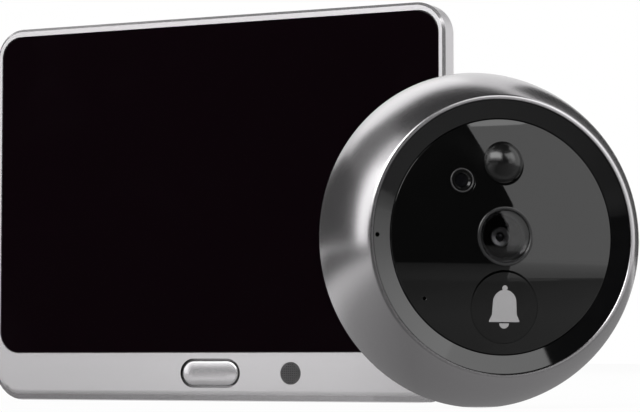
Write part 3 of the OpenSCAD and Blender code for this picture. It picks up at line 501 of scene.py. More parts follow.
frameSizes = {"half": 58, "height": 88, "deep": 5, "corner": 7, "edge": 0.65, "edgeDeep": 0.5,
              "foot": 1.5, "footDeep": 2.0, "footRound": 1.0, "belly": 0.3, "ramp": 7, "wideFace": 3000,
              "glassHalf": 56.55, "glassLow": 11, "glassTop": 86.2, "glassCorner": 5.12, "glassDeep": 1.35,
              "openHalf": 53.3, "openLow": 14.45, "openTop": 82.75,
              "rearHalf": 56.2, "rearLow": 10.4, "rearFrom": 4.05, "rearCorner": 5,
              "bar": (-17, 29, 2.2, 10.5), "barWall": 1.6, "keyHigh": 6.4, "keyHole": (15.3, 6.6),
              "port": 20.4, "portRim": 2.55, "portDeep": 0.7, "portBore": 1.4,
              "posts": (-11, 13.5), "postRadius": 1.7, "postRoot": 0.2, "postEnd": 4.6, "soft": 0.07,
              "slant": (-0.92, -0.3), "wallTilt": 0.6, "near": 0.1, "flat": 0.0001}


def frameInset(point):    # how far a point lies inside the frame's rounded outline
    s = frameSizes
    x = abs(point.x) - (s["half"] - s["corner"])
    z = abs(point.z - s["height"] / 2) - (s["height"] / 2 - s["corner"])
    if x > 0 and z > 0:
        return s["corner"] - math.hypot(x, z)
    return s["corner"] - max(x, z)


def makeFrontFrame():
    s = frameSizes
    body = roundBlock("frontFrame", (-s["half"], 0, 0), (s["half"], s["deep"], s["height"]), s["corner"], 16)
    pick(body, "FACE", lambda f: f.normal.y < -0.9)
    bpy.ops.mesh.inset(thickness=s["edge"], use_even_offset=True)
    half = 0.5 * s["edge"]    # parts the outline from the rings inside it

    def front(v):
        return v.co.y < s["flat"]

    def rim(v):
        return v.co.y < s["footDeep"] + s["near"] and frameInset(v.co) < half

    def belly(v):    # the ring between the rim and the face
        widest = max(f.calc_area() for f in v.link_faces)
        return v.co.y < s["edgeDeep"] and frameInset(v.co) > half and widest < s["wideFace"]

    # the face stops higher above the foot
    pick(body, "VERT", lambda v: front(v) and frameInset(v.co) > half and v.co.z < s["corner"] + s["near"])
    bpy.ops.transform.translate(value=(0, 0, s["foot"] - s["edge"]))
    pick(body, "FACE", lambda f: f.normal.y < -0.9 and f.calc_area() > s["wideFace"])
    bpy.ops.mesh.inset(thickness=s["footRound"], use_even_offset=True)
    # the rim falls back all round, and more along the foot, which rounds into the face
    pick(body, "VERT", lambda v: front(v) and frameInset(v.co) < half)
    bpy.ops.transform.translate(value=(0, s["edgeDeep"], 0))
    for i in range(s["ramp"]):
        rise = s["corner"] * (1 - math.cos(math.radians(90 * (i + 0.5) / s["ramp"])))
        pick(body, "VERT", lambda v: rim(v) and v.co.z < rise)
        bpy.ops.transform.translate(value=(0, (s["footDeep"] - s["edgeDeep"]) / s["ramp"], 0))
        pick(body, "VERT", lambda v: belly(v) and v.co.z < s["foot"] + rise)
        bpy.ops.transform.translate(value=(0, s["belly"] / s["ramp"], 0))
    done()
    carve(body, roundBlock("cut", (-s["glassHalf"], -over, s["glassLow"]),
                           (s["glassHalf"], s["glassDeep"], s["glassTop"]), s["glassCorner"]))
    behind = s["deep"] + over
    carve(body, block("cut", (-s["openHalf"], -over, s["openLow"]), (s["openHalf"], behind, s["openTop"])))
    carve(body, roundBlock("cut", (-s["rearHalf"], s["rearFrom"], s["rearLow"]),
                           (s["rearHalf"], behind, s["glassTop"]), s["rearCorner"]))
    left, right, low, high = s["bar"]
    carve(body, block("cut", (left, s["barWall"], low), (right, behind, high)))
    for x in s["posts"]:    # posts that the key's board screws to
        root = s["barWall"] - s["postRoot"]
        carve(body, drum("post", (x, s["keyHigh"]), s["postRadius"], root, s["postEnd"], 32, "Y"), "UNION")
    keyHole = outlined("cut", stadiumPoints(s["keyHole"]), -s["barWall"] - over, over)
    carve(body, standUp(keyHole, s["keyHigh"]))
    port = (s["port"], s["keyHigh"])
    carve(body, drum("cut", port, s["portRim"], -over, s["portDeep"], 64, "Y"))
    carve(body, drum("cut", port, s["portBore"], 0, s["barWall"] + over, 32, "Y"))
    soften(body, s["soft"], 2, 30)
    smooth(body, 35)
    zones = body.data.attributes.new("zones", "FLOAT_COLOR", "CORNER")
    wide, tall = s["keyHole"]
    steep, shallow = s["slant"]
    for face in body.data.polygons:
        spot, tilt = face.center, face.normal.y
        reach = s["foot"] if spot.z < s["foot"] + s["footRound"] else s["edge"]
        slant = steep < tilt < shallow and spot.y < s["footDeep"] and frameInset(spot) < reach
        beside = abs(spot.x) < wide / 2 + s["near"] and abs(spot.z - s["keyHigh"]) < tall / 2 + s["near"]
        # the walls of the key's hole are marked green, for painted shade
        shadedGap = beside and abs(tilt) < s["wallTilt"]
        for corner in face.loop_indices:
            zones.data[corner].color = (slant, shadedGap, 0, 1)
    hand(settle(body, monitorPlace), silver, "monitor", "silver_plastic", "front_frame")


makeFrontFrame()

# monitor: cover glass

glassSizes = {"half": 56.43, "low": 11.12, "top": 86.08, "front": 0.05, "back": 1.15, "corner": 5,
              "edge": 0.14}


def makeCoverGlass():
    s = glassSizes
    glass = roundBlock("coverGlass", (-s["half"], s["front"], s["low"]), (s["half"], s["back"], s["top"]),
                       s["corner"], 16)
    soften(glass, s["edge"], 3)
    smooth(glass)
    hand(settle(glass, monitorPlace), screenGlass, "monitor", "screen_glass", "cover_glass")


makeCoverGlass()

# monitor: home key, a pillowed cap on a flange

keySizes = {"flange": (16.2, 7.1), "flangeFront": 1.7, "back": 2.4, "cap": (14.3, 5.6), "front": 0.2,
            "high": 6.4,
            "crown": ((0.08, 0.14), (0.12, 0.11), (0.2, 0.037), (0.3, 0.048), (0.4, 0.054), (0.5, 0.048),
                      (0.5, 0.028))}


def makeHomeButton():
    s = keySizes
    cap = outlined("homeButton", stadiumPoints(s["cap"]), -s["back"], -s["front"])
    pick(cap, "FACE", lambda f: f.normal.z > 0.9)
    width, tall = s["cap"]
    for step, lift in s["crown"]:    # pillowed face, ring by ring
        bpy.ops.mesh.extrude_region_move(TRANSFORM_OT_translate={"value": (0, 0, lift)})
        shrink = (1 - 2 * step / width, 1 - 2 * step / tall, 1)
        bpy.ops.transform.resize(value=shrink, center_override=(0, 0, 0))
        width, tall = width - 2 * step, tall - 2 * step
    done()
    flange = outlined("flange", stadiumPoints(s["flange"]), -s["back"], -s["flangeFront"])
    carve(cap, flange, "UNION")
    smooth(standUp(cap, s["high"]), 40, False)
    hand(settle(cap, monitorPlace), silverKey, "home_key", "silver_plastic", "home_button")


makeHomeButton()

# monitor: mesh behind the microphone port, a fine grid of pits

meshSizes = {"centre": (20.4, 6.4), "radius": 2.5, "front": 0.05, "back": 0.7, "cells": 11, "spread": 2.2,
             "margin": 0.42, "web": 0.1, "pit": 0.18, "pitSlope": 0.03}


def makeMicMesh():
    s = meshSizes
    x, z = s["centre"]
    clearPicks()
    bpy.ops.mesh.primitive_grid_add(x_subdivisions=s["cells"], y_subdivisions=s["cells"],
                                    size=s["spread"] * s["radius"],
                                    location=(x, s["back"], z), rotation=(math.pi / 2, 0, 0))
    grid = bpy.context.object
    grid.name = "micMesh"
    fixPlace()
    edit(grid)
    pickAll()
    bpy.ops.mesh.extrude_region_move(TRANSFORM_OT_translate={"value": (0, s["front"] - s["back"], 0)})
    faceOut()

    def pitted(face):
        spot = face.calc_center_median()
        return face.normal.y < -0.9 and math.hypot(spot.x - x, spot.z - z) < s["radius"] - s["margin"]

    pick(grid, "FACE", pitted)
    bpy.ops.mesh.inset(thickness=s["web"], use_individual=True)
    bpy.ops.mesh.inset(thickness=s["pitSlope"], depth=-s["pit"], use_individual=True)
    done()
    outline = drum("cut", s["centre"], s["radius"], s["front"] - over, s["back"] + over, 64, "Y")
    carve(grid, outline, "INTERSECT")
    smooth(grid, 30, False)
    hand(settle(grid, monitorPlace), meshCloth, "monitor", "mesh", "mic_mesh")


makeMicMesh()
print("monitor front made")

# outdoor camera: turned metal housing

housingSizes = {"rim": 27.2, "wide": 33, "arc": 27, "arcCentre": (6.26, -17.05), "widest": -13.3,
                "foot": (32.22, -14.6), "inside": ((30.8, -14.6), (30.8, -12.6), (29.6, -12.6), (29.6, -8.4),
                (28.6, -8.4), (28.6, -6.1), (27.6, -6.1), (27.6, -4.0), (26.45, -4.0), (26.45, -0.12),
                (26.57, 0.0)), "bossTurns": (90, 225, 315), "bossAt": 24.9, "boss": 2.6, "bore": 1.1,
                "bossLow": -12.4, "bossTop": -7.0, "boreShort": 0.8, "webHalf": 1.2, "webShort": 3,
                "vents": (250, 260, 280, 290), "slot": ((29.8, -1, -15.6), (34.8, 1, -13.9)),
                "lip": 0.35, "lipSteps": 8, "arcSteps": 40, "turns": 192}


def makeHousing():
    s = housingSizes
    cx, cz = s["arcCentre"]
    first = math.atan2(0 - cz, s["rim"] - cx) - s["lip"] / s["arc"]
    last = math.atan2(s["widest"] - cz, s["wide"] - cx)
    arc = [first + (last - first) * t for t in shares(s["arcSteps"])]
    skin = [(cx + s["arc"] * math.cos(a), cz + s["arc"] * math.sin(a)) for a in arc]
    skin[-1] = (s["wide"], s["widest"])
    low, corner, high = Vector((s["rim"] - s["lip"], 0)), Vector((s["rim"], 0)), Vector(skin[0])
    rolled = shares(s["lipSteps"])[:-1]    # the front edge rolls over into the skin
    lip = [tuple(low.lerp(corner, t).lerp(corner.lerp(high, t), t)) for t in rolled]
    shell = turned("housing", lip + skin + [s["foot"]] + list(s["inside"]) + lip[:1], s["turns"])
    for turn in s["bossTurns"]:
        spot = around(turn, s["bossAt"])
        carve(shell, drum("boss", spot, s["boss"], s["bossLow"], s["bossTop"], 40), "UNION")
        web = block("web", (s["bossAt"], -s["webHalf"], s["bossLow"]),
                    (s["wide"] - s["webShort"], s["webHalf"], s["bossTop"]))
        carve(shell, swing(web, turn), "UNION")
        carve(shell, drum("cut", spot, s["bore"], s["bossLow"] - over, s["bossTop"] - s["boreShort"], 24))
    for turn in s["vents"]:    # sound slots at the foot
        carve(shell, swing(block("cut", *s["slot"]), turn))
    smooth(shell, 25, False)
    hand(settle(shell, unitPlace), housingMetal, "outdoor_unit", "housing_metal", "housing")


makeHousing()

# outdoor camera: smoked ring inside the rim

ringSizes = {"inner": 22.75, "outer": 26.35, "innerTop": -1.15, "outerTop": -0.25, "seat": -3.2,
             "soft": 0.08, "mic": (-25.5, 0), "micRadius": 0.45, "steps": 12, "turns": 192}


def makeLightRing():
    s = ringSizes
    slope = (s["outerTop"] - s["innerTop"]) / (s["outer"] - s["inner"])
    width = s["outer"] - s["inner"] - 2 * s["soft"]
    face = [s["inner"] + s["soft"] + width * t for t in shares(s["steps"])]
    top = [(r, s["innerTop"] + slope * (r - s["inner"])) for r in face]
    profile = [(s["inner"], s["innerTop"] - s["soft"])] + top + [(s["outer"], s["outerTop"] - s["soft"]),
               (s["outer"], s["seat"]), (s["inner"], s["seat"]), (s["inner"], s["innerTop"] - s["soft"])]
    ring = turned("lightRing", profile, s["turns"])
    carve(ring, drum("cut", s["mic"], s["micRadius"], s["seat"] - over, over, 32))
    smooth(ring, 30, False)
    hand(settle(ring, unitPlace), ringSmoke, "outdoor_unit", "smoked_plastic", "light_ring")


makeLightRing()

# outdoor camera: domed window with its holes

domeSizes = {"radius": 171, "apex": 0.45, "edge": 22.6, "back": -2.2, "soft": 0.05, "flare": 0.4,
             "tool": (-5, 5), "rings": 40, "turns": 192, "holeTurns": 96}
# each hole's centre, radius and broken edge
holeSizes = {"lens": ((0, 0), 5.77, 0.06), "bell": ((0, -13.7), 6.85, 0.02), "motion": ((0, 14.2), 4.1, 0.06),
             "sensor": ((-8.55, 10.6), 2.55, 0.02), "pin": ((-16, -12), 0.35, 0.02)}


def capHeight(r, apex, ball):    # height of a ball's cap, r away from its axis
    return apex - ball + math.sqrt(ball ** 2 - r * r)


def domeHeight(r):
    return capHeight(r, domeSizes["apex"], domeSizes["radius"])


def domeBlank(name, back):
    s = domeSizes
    rings = [s["edge"] * (1 - t) for t in shares(s["rings"])]
    rings[0] = s["edge"] - s["soft"]
    skin = [(r, domeHeight(r)) for r in rings]
    side = [(0, back), (s["edge"], back), (s["edge"], domeHeight(s["edge"]) - s["soft"])]
    return turned(name, side + skin, s["turns"])


def flaredCut(spot, radius, start, grow, end):    # a bore that widens from one height to another
    low, high = domeSizes["tool"]
    wide = radius + grow
    profile = [(0, low), (radius, low), (radius, start), (wide, end), (wide, high), (0, high)]
    return shift(turned("cut", profile, domeSizes["holeTurns"]), (*spot, 0))


def makeFrontWindow():
    s = domeSizes
    window = domeBlank("frontWindow", s["back"])
    for spot, radius, broken in holeSizes.values():
        start = domeHeight(math.hypot(*spot)) - broken
        carve(window, flaredCut(spot, radius, start, s["flare"], start + s["flare"]))
    smooth(window, 25, False)
    hand(settle(window, unitPlace), windowGloss, "outdoor_unit", "gloss_black", "front_window")


makeFrontWindow()

# bell key: domed cap with the bell let in

bellSizes = {"spot": (0, -13.7), "radius": 6.79, "flange": -3.1, "earTop": -2.3, "ear": 7.5, "earHalf": 3,
             "stem": 2, "foot": -5.4, "lap": 0.1, "symbolLow": -2.0, "toolTop": 4,
             "crown": (2.4, 1.05), "knob": (0.55, 3.75),
             "skirt": ((-2.55, -1.3), (-3.1, -2.45), (-3.1, -2.7), (3.1, -2.7), (3.1, -2.45), (2.55, -1.3)),
             "clapper": (1.0, -2.95)}


def bellPrism():
    s = bellSizes
    low, high = s["symbolLow"], s["toolTop"]
    radius, mid = s["crown"]
    arc = [(x, mid + y) for x, y in (around(a, radius) for a in range(0, 181, 6))]
    body = outlined("bell", arc + list(s["skirt"]), low, high)
    radius, mid = s["knob"]
    carve(body, drum("knob", (0, mid), radius, low, high, 32), "UNION")
    radius, mid = s["clapper"]
    half = [(x, mid + y) for x, y in (around(a, radius) for a in range(180, 361, 9))]
    clapper = outlined("clapper", half, low, high)
    return shift(join([body, clapper], "bell"), (*s["spot"], 0))


def makeBellButton():
    s = bellSizes
    cap = domeBlank("bellButton", s["flange"])
    carve(cap, drum("cut", s["spot"], s["radius"], s["flange"] - over, s["toolTop"], 128), "INTERSECT")
    carve(cap, bellPrism())
    x, y = s["spot"]
    ears = block("ears", (x - s["ear"], y - s["earHalf"], s["flange"]),
                 (x + s["ear"], y + s["earHalf"], s["earTop"]))
    carve(cap, ears, "UNION")
    carve(cap, drum("stem", s["spot"], s["stem"], s["foot"], s["flange"] + s["lap"], 32), "UNION")
    smooth(cap, 25, False)
    hand(settle(cap, unitPlace), keyGloss, "bell_key", "gloss_black", "bell_button")


def makeBellSymbol():
    symbol = domeBlank("bellSymbol", bellSizes["flange"])
    carve(symbol, bellPrism(), "INTERSECT")
    smooth(symbol, 25, False)
    hand(settle(symbol, unitPlace), symbolGrey, "bell_key", "symbol_plastic", "bell_symbol")


makeBellButton()
makeBellSymbol()

# lens: bezel, front glass, the small lens behind it and its retainer

lensSizes = {"bezel": ((5.2, 0.8), (5.49, 0.8), (5.56, 0.79), (5.63, 0.76), (5.68, 0.71), (5.71, 0.65),
                       (5.72, 0.58), (5.72, -2.3), (6.07, -2.3), (6.07, -3.2), (4.2, -3.2), (4.2, -0.75),
                       (4.95, -0.75), (4.95, 0.45), (5.2, 0.8)), "bezelTurns": 160,
             "glass": 4.9, "glassBack": -0.75, "curve": 50, "apex": 0.8, "backRise": 0.25, "glassSoft": 0.06,
             "softRise": 0.005, "glassRings": 20, "glassTurns": 128,
             "eye": 0.88, "eyeBase": -2.95, "eyeRise": 0.3, "eyeDeep": 0.3, "eyeRings": 14, "eyeTurns": 96,
             "retainer": ((0.92, -3.2), (1.55, -3.2), (1.55, -2.78), (1.95, -2.78), (1.95, -2.6),
                          (1.75, -2.42), (0.92, -2.62), (0.92, -3.2)), "retainerSoft": 0.04}


def makeLens():
    s = lensSizes
    bezel = turned("lensBezel", s["bezel"], s["bezelTurns"])
    smooth(bezel, 30)
    hand(settle(bezel, unitPlace), bezelBlack, "outdoor_unit", "gloss_black", "lens_bezel")
    skin = [s["glass"] * (1 - t) for t in shares(s["glassRings"])]
    dome = [(r, capHeight(r, s["apex"], s["curve"])) for r in skin]
    edge = dome[0][1]
    dome[0] = (s["glass"] - s["glassSoft"], edge + s["softRise"])
    hollow = [(r, s["glassBack"] + s["backRise"] * (1 - (r / s["glass"]) ** 2)) for r in reversed(skin)]
    glass = turned("frontLens", hollow + [(s["glass"], edge - s["glassSoft"])] + dome, s["glassTurns"])
    smooth(glass, 25, False)
    hand(settle(glass, unitPlace), lensGlass, "outdoor_unit", "lens_glass", "front_lens")
    ball = (s["eye"] ** 2 + s["eyeRise"] ** 2) / (2 * s["eyeRise"])
    skin = [s["eye"] * (1 - t) for t in shares(s["eyeRings"])]
    dome = [(r, capHeight(r, s["eyeBase"] + s["eyeRise"], ball)) for r in skin]
    back = s["eyeBase"] - s["eyeDeep"]
    eye = turned("innerLens", [(0, back), (s["eye"], back)] + dome, s["eyeTurns"])
    smooth(eye, 30, False)
    hand(settle(eye, unitPlace), innerGlass, "outdoor_unit", "lens_glass")
    retainer = turned("lensRetainer", s["retainer"], s["eyeTurns"])
    soften(retainer, s["retainerSoft"], 2)
    smooth(retainer, 30)
    hand(settle(retainer, unitPlace), retainerGrey, "outdoor_unit", "gloss_black")


makeLens()

# motion sensor dome and the light sensor's ring

motionSizes = {"spot": (0, 14.2), "radius": 4.05, "base": -0.14, "rise": 2.6, "wall": 0.7, "back": -2.2,
               "flange": 4.85, "flangeBack": -3.0, "steps": 24, "turns": 128}


def makeMotionLens():
    s = motionSizes
    ball = (s["radius"] ** 2 + s["rise"] ** 2) / (2 * s["rise"])
    centre = s["base"] + s["rise"] - ball
    steep = math.asin(s["radius"] / ball)
    turns = [steep * (1 - t) for t in shares(s["steps"])]
    outer = [(ball * math.sin(a), centre + ball * math.cos(a)) for a in turns]
    thin = ball - s["wall"]
    inside = s["radius"] - s["wall"]
    turns = [math.asin(inside / thin) * t for t in shares(s["steps"])]
    inner = [(thin * math.sin(a), centre + thin * math.cos(a)) for a in turns]
    profile = inner + [(inside, s["flangeBack"]), (s["flange"], s["flangeBack"]), (s["flange"], s["back"]),
                       (s["radius"], s["back"])] + outer
    lens = shift(turned("motionLens", profile, s["turns"]), (*s["spot"], 0))
    smooth(lens, 30, False)
    hand(settle(lens, unitPlace), domeBlack, "outdoor_unit", "gloss_black", "motion_lens")


sensorSizes = {"spot": (-8.55, 10.6), "radius": 2.5, "bore": 1.3, "sink": 0.3, "flare": 0.8, "flareTop": 0.5,
               "flange": 3.1, "back": -2.2, "lap": 0.1, "flangeBack": -3.0, "blank": (-4, 4),
               "bead": 0.16, "trimIn": 0.3, "turns": 96}


def makeSensorRing():
    s = sensorSizes
    ring = domeBlank("sensorRing", s["back"] - s["lap"])
    carve(ring, drum("cut", s["spot"], s["radius"], *s["blank"], s["turns"]), "INTERSECT")
    carve(ring, drum("rim", s["spot"], s["flange"], s["flangeBack"], s["back"], s["turns"]), "UNION")
    top = domeHeight(math.hypot(*s["spot"]))
    carve(ring, flaredCut(s["spot"], s["bore"], top - s["sink"], s["flare"], top + s["flareTop"]))
    smooth(ring, 25, False)
    hand(settle(ring, unitPlace), sensorBlack, "outdoor_unit", "smoked_plastic", "sensor_ring")
    middle = s["radius"] - s["trimIn"]
    bead = [(middle + x, y) for x, y in (around(a, s["bead"]) for a in range(0, 361, 30))]
    trim = turned("sensorTrim", bead, s["turns"])
    lean = Vector((*s["spot"], domeSizes["radius"]))
    trim.rotation_euler = lean.to_track_quat("Z", "Y").to_euler()
    shift(trim, (*s["spot"], top))
    smooth(trim, 60, False)
    hand(settle(trim, unitPlace), trimGrey, "outdoor_unit", "smoked_plastic")


makeMotionLens()
makeSensorRing()
print("outdoor camera front made")

# outer pieces seen from behind: merged copies with softened edges

backPieces = {    # node, body, slot, finish and edge width
    "backCover": ("back_cover", "monitor", "cover_plastic", coverGrey, 0.12),
    "bracketPlate": ("bracket_plate", "door_bracket", "sheet_steel", sheetSteel, 0.12),
    "bracketStuds": ("bracket_studs", "door_bracket", "screw_steel", screwSteel, 0.06),
    "backPlate": ("back_plate", "outdoor_unit", "black_plastic", blackPlastic, 0.12),
    "doorGasket": ("door_gasket", "outdoor_unit", "foam", foam, 0.15),
    "cableGland": ("cable_gland", "outdoor_unit", "seal_rubber", rubber, 0.08),
    "plateScrews": ("plate_screws", "outdoor_unit", "screw_steel", screwSteel, 0.05),
    "coverScrews": ("cover_screws", "monitor", "screw_steel", screwSteel, 0.05),
}
copySizes = {"weld": 0.000001, "flat": 0.5, "sharp": 40}    # metres, degrees, degrees


def softCopy(name, node, body, slot, finish, soft):
    s = copySizes
    clearPicks()
    piece = nodes[node].copy()
    piece.data = piece.data.copy()
    piece.name = name
    for label in [k for k in piece.keys() if k.startswith("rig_")]:
        del piece[label]
    piece.parent = None
    bpy.context.scene.collection.objects.link(piece)
    piece.hide_render = False
    edit(piece)
    pickAll()
    bpy.ops.mesh.remove_doubles(threshold=s["weld"])
    bpy.ops.mesh.dissolve_limited(angle_limit=math.radians(s["flat"]))
    done()
    soften(piece, soft * 0.001, 2, s["sharp"])
    smooth(piece, s["sharp"])
    hand(piece, finish, body, slot, node)


for name, row in backPieces.items():
    softCopy(name, *row)
print("back pieces made:", len(backPieces))

# the pieces that keep their own shape

ownFinish = {
    rubber: ("glass_tape", "mic_boot", "speaker_gasket", "seal_ring"),
    displayGlass: ("lcd_panel", "image_sensor"),
    sheetSteel: ("chassis_plate", "processor_shield", "usb_socket", "card_socket"),
    screwSteel: ("chassis_screws", "board_screws", "mic_capsule", "camera_screws", "motion_sensor",
                 "outdoor_mic"),
    boardGreen: ("button_board", "main_board", "sensor_board", "led_board", "camera_board"),
    blackPlastic: ("home_plunger", "home_switch", "speaker", "bell_plunger", "bell_switch", "core_frame",
                   "camera_chips", "outdoor_speaker"),
    flockBlack: ("lens_barrel", "lens_holder"),
    connectorWhite: ("camera_socket", "cable_plug"),
    foam: ("battery_pad",),
    cellFoil: ("battery_pack",),
    copper: ("wifi_antenna",),
    guideBlack: ("light_guide", "light_sensor"),
    lampClear: ("ring_leds",),
}
for finish, names in ownFinish.items():
    for name in names:
        nodes[name].data.materials.clear()
        nodes[name].data.materials.append(finish)
print("inner pieces finished:", sum(len(names) for names in ownFinish.values()))

# studio

studio = {"lens": 135.53, "sensor": 36, "near": 0.01, "spot": (0.2604, -0.4930, 0.00928),
          "heading": (-0.4338, 0.9010), "rise": 3.667, "floor": (0.75, 0.75, 0.75), "floorWide": 12,
          "floorWhite": 0.95, "fill": 0.45, "cardFar": 1.5, "cardSteps": 24, "sheetSteps": 6}


def makeCamera():
    data = bpy.data.cameras.new("photoCamera")
    data.lens = studio["lens"]
    data.sensor_width = studio["sensor"]
    data.sensor_fit = "HORIZONTAL"
    data.clip_start = studio["near"]
    camera = bpy.data.objects.new("photoCamera", data)
    bpy.context.scene.collection.objects.link(camera)
    rise = math.radians(studio["rise"])
    x, y = studio["heading"]
    look = Vector((x * math.cos(rise), y * math.cos(rise), math.sin(rise)))
    camera.location = studio["spot"]
    camera.rotation_euler = look.to_track_quat("-Z", "Y").to_euler()
    bpy.context.scene.camera = camera


makeCamera()


def seenMask(tree):    # 1 where the camera, a reflection or a look through glass meets the background
    path = tree.nodes.new("ShaderNodeLightPath")
    either = sums(tree, "MAXIMUM", path.outputs["Is Camera Ray"], path.outputs["Is Glossy Ray"])
    return sums(tree, "MAXIMUM", either, path.outputs["Is Transmission Ray"])


def bareTree(owner, kind):    # an empty node tree, and the way into its output node
    owner.use_nodes = True
    tree = owner.node_tree
    tree.nodes.clear()
    return tree, tree.nodes.new(kind).inputs["Surface"]


def mixShaders(tree, amount, first, second):
    mix = tree.nodes.new("ShaderNodeMixShader")
    for socket, value in zip(mix.inputs, (amount, first.outputs[0], second.outputs[0])):
        tree.links.new(value, socket)
    return mix.outputs[0]


def makeWorld():
    world = bpy.data.worlds.new("studioWorld")
    bpy.context.scene.world = world
    tree, surface = bareTree(world, "ShaderNodeOutputWorld")
    fill = tree.nodes.new("ShaderNodeBackground")
    white = tree.nodes.new("ShaderNodeBackground")
    for back, strength in ((fill, studio["fill"]), (white, 1.0)):
        back.inputs["Color"].default_value = (1, 1, 1, 1)
        back.inputs["Strength"].default_value = strength
    tree.links.new(mixShaders(tree, seenMask(tree), fill, white), surface)


makeWorld()


def makeFloor():
    clearPicks()
    bpy.ops.mesh.primitive_plane_add(size=studio["floorWide"], location=(0, 0, 0))
    floor = bpy.context.object
    floor.name = "studioFloor"
    finish = bpy.data.materials.new("floorPaper")
    tree, surface = bareTree(finish, "ShaderNodeOutputMaterial")
    paper = tree.nodes.new("ShaderNodeBsdfDiffuse")
    paper.inputs["Color"].default_value = (*studio["floor"], 1)
    glow = tree.nodes.new("ShaderNodeEmission")
    glow.inputs["Strength"].default_value = 1.0
    white = sums(tree, "MULTIPLY", seenMask(tree), studio["floorWhite"])
    tree.links.new(mixShaders(tree, white, paper, glow), surface)
    floor.data.materials.append(finish)


makeFloor()

# cards and lamps stand round the object: heading is degrees from straight ahead of the monitor, to its right
aim = Vector((0.06, -0.05, 0.04))


def spotAt(heading, rise, far):
    h, r = math.radians(heading), math.radians(rise)
    return aim + Vector((math.sin(h) * math.cos(r), -math.cos(h) * math.cos(r), math.sin(r))) * far


# cards that only reflections see: rows of (rise, left heading, right heading, brightness), 1 is white
wallCards = {
    "darkLeft": [(-3, -40.5, 30, 0.02), (10.5, -40.5, 30, 0.02)],
    "darkRight": [(-3, 30, 65.8, 0.01), (7.2, 30, 66.3, 0.01), (17.5, 30, 60.9, 0.01), (28.8, 30, 54.2, 0.01),
                  (42, 30, 46, 0.01)],
    "rightGlow": [(19, 60.5, 78, 2.1), (30, 53.5, 78, 2.1), (42, 46, 78, 2.1)],
    "farGlow": [(0, 85, 102, 1.05), (5, 85, 102, 1.35), (9, 85, 102, 1.8), (14, 84, 102, 2.1),
                (20, 78, 102, 2.4), (42, 78, 102, 2.7)],
    "upperRight": [(42, 18, 104, 0.08), (60, 18, 104, 0.08)],
    "leftGrey": [(-12, -112, -50, 0.08), (12, -112, -53, 0.08), (22, -111, -56, 0.08), (32, -106, -60, 0.08)],
    "edgeGrey": [(-12, -128, -112, 0.45), (12, -128, -112, 0.45), (22, -122, -111, 0.45)],
    "upperGrey": [(32, -98, -60, 0.2), (58, -117, -58, 0.2)],
    "ceilingGrey": [(rise, -180, 180, 0.04) for rise in (58, 70, 80, 89)],
    "backDark": [(-8, 163, 189, 0.04), (30, 163, 189, 0.04), (50, 163, 181, 0.04)],
}
# sheets on the floor, seen the same way, paint the floor's shade and lit patches into reflections: a height
# in millimetres, and rows of (left end, right end, brightness), where a pair is the brightness at the two
# ends
floorCards = {
    # painted shade of the floor round the object, seen only in reflections
    "floorGreyShade": (0.2, [((-0.5, -0.75), (0.43, -0.75), 0.3), ((-0.5, 0.5), (0.43, 0.5), 0.3)]),
    "floorShade": (0.4, [((0.077, -0.104), (0.15, -0.02), (0.09, 0.34)),
                         ((0.086, -0.232), (0.3, 0.0), (0.09, 0.34)),
                         ((0.117, -0.381), (0.95, 0.05), (0.08, 0.28)),
                         ((0.177, -0.667), (0.447, -0.228), (0.06, 0.2)), ((0.54, -2.6), (2.4, -1.1), 0.01)]),
    "floorGlow": (0.4, [((0.449, -0.228), (0.95, 0.05), 0.5), ((0.95, -0.45), (1.3, 0.25), 0.68),
                        ((2.4, -1.1), (2.4, 0.75), 0.95)]),
    "footShade": (0.3, [((-0.08, y), (0.04, y), (0.09, 0.37)) for y in (-0.028, 0.02)]),
    "floorLight": (0.3, [((x, -0.3), (x, -0.03), bright) for x, bright in (
        (0.1, 0.3), (0.072, 0.23), (0.035, 0.36), (0.005, 0.72), (-0.02, 0.8), (-0.045, 0.5), (-0.07, 0.14))]
        + [((-0.5, -0.4), (-0.5, -0.03), 0.08)]),
}


def cardRow(rise, left, right):
    return [spotAt(left + (right - left) * t, rise, studio["cardFar"]) for t in shares(studio["cardSteps"])]


def sheetRow(left, right, high):
    first, last = Vector((*left, high)), Vector((*right, high))
    return [first.lerp(last, t) for t in shares(studio["sheetSteps"])]


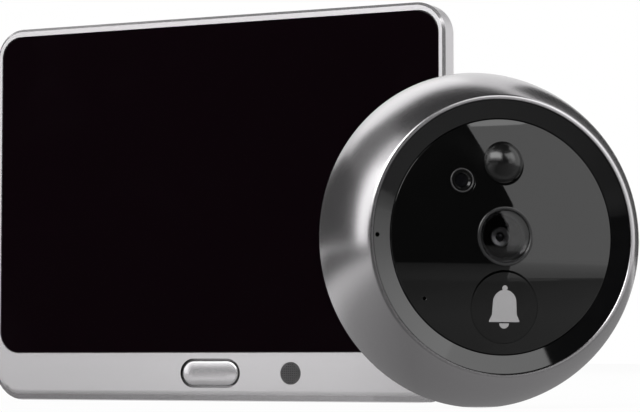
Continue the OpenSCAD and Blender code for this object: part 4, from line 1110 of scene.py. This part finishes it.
def makeCard(name, rows):    # rows of (points from left to right, brightness)
    wide = len(rows[0][0])
    clearPicks()
    bpy.ops.mesh.primitive_grid_add(x_subdivisions=wide - 1, y_subdivisions=len(rows) - 1, size=1)
    card = bpy.context.object
    card.name = name
    level = card.data.attributes.new("level", "FLOAT", "POINT")
    for i, vertex in enumerate(card.data.vertices):
        row, column = divmod(i, wide)
        points, bright = rows[row]
        first, last = bright if isinstance(bright, tuple) else (bright, bright)
        vertex.co = points[column]
        level.data[i].value = first + (last - first) * column / (wide - 1)
    finish = bpy.data.materials.new(name)
    tree, surface = bareTree(finish, "ShaderNodeOutputMaterial")
    stored = tree.nodes.new("ShaderNodeAttribute")
    stored.attribute_name = "level"
    glow = tree.nodes.new("ShaderNodeEmission")
    tree.links.new(stored.outputs["Fac"], glow.inputs["Strength"])
    tree.links.new(glow.outputs[0], surface)
    card.data.materials.append(finish)
    card.visible_camera = False
    card.visible_diffuse = False
    card.visible_shadow = False


for name, rows in wallCards.items():
    makeCard(name, [(cardRow(rise, left, right), bright) for rise, left, right, bright in rows])
for name, (high, rows) in floorCards.items():
    makeCard(name, [(sheetRow(left, right, 0.001 * high), bright) for left, right, bright in rows])

lamps = {    # heading, rise and distance; size; brightness, 1 is white; whether reflections see it
    "frontLamp": ((0, 37, 1.35), (1.5, 0.7), 3.35, True),
    "topLamp": ((60, 74, 1.3), (0.8, 0.8), 2.0, False),
    "rightLamp": ((95, 25, 1.3), (0.7, 0.7), 1.5, False),
    "leftLamp": ((-46.5, 14, 1.3), (0.25, 1.3), 1.0, True),
    "backLamp": ((-132, 45, 1.3), (0.9, 0.4), 0.5, True),
    "rearLamp": ((175, 35, 1.3), (1.0, 0.8), 1.6, False),
}


def makeLamp(name, spot, size, bright, glossy):
    data = bpy.data.lights.new(name, "AREA")
    data.shape = "RECTANGLE"
    data.size, data.size_y = size
    data.energy = bright * math.pi * data.size * data.size_y
    lamp = bpy.data.objects.new(name, data)
    bpy.context.scene.collection.objects.link(lamp)
    lamp.location = spotAt(*spot)
    lamp.rotation_euler = (aim - lamp.location).to_track_quat("-Z", "Y").to_euler()
    lamp.visible_glossy = glossy


for name, row in lamps.items():
    makeLamp(name, *row)
bpy.context.scene.view_settings.view_transform = "Standard"
clearPicks()
print("studio set")
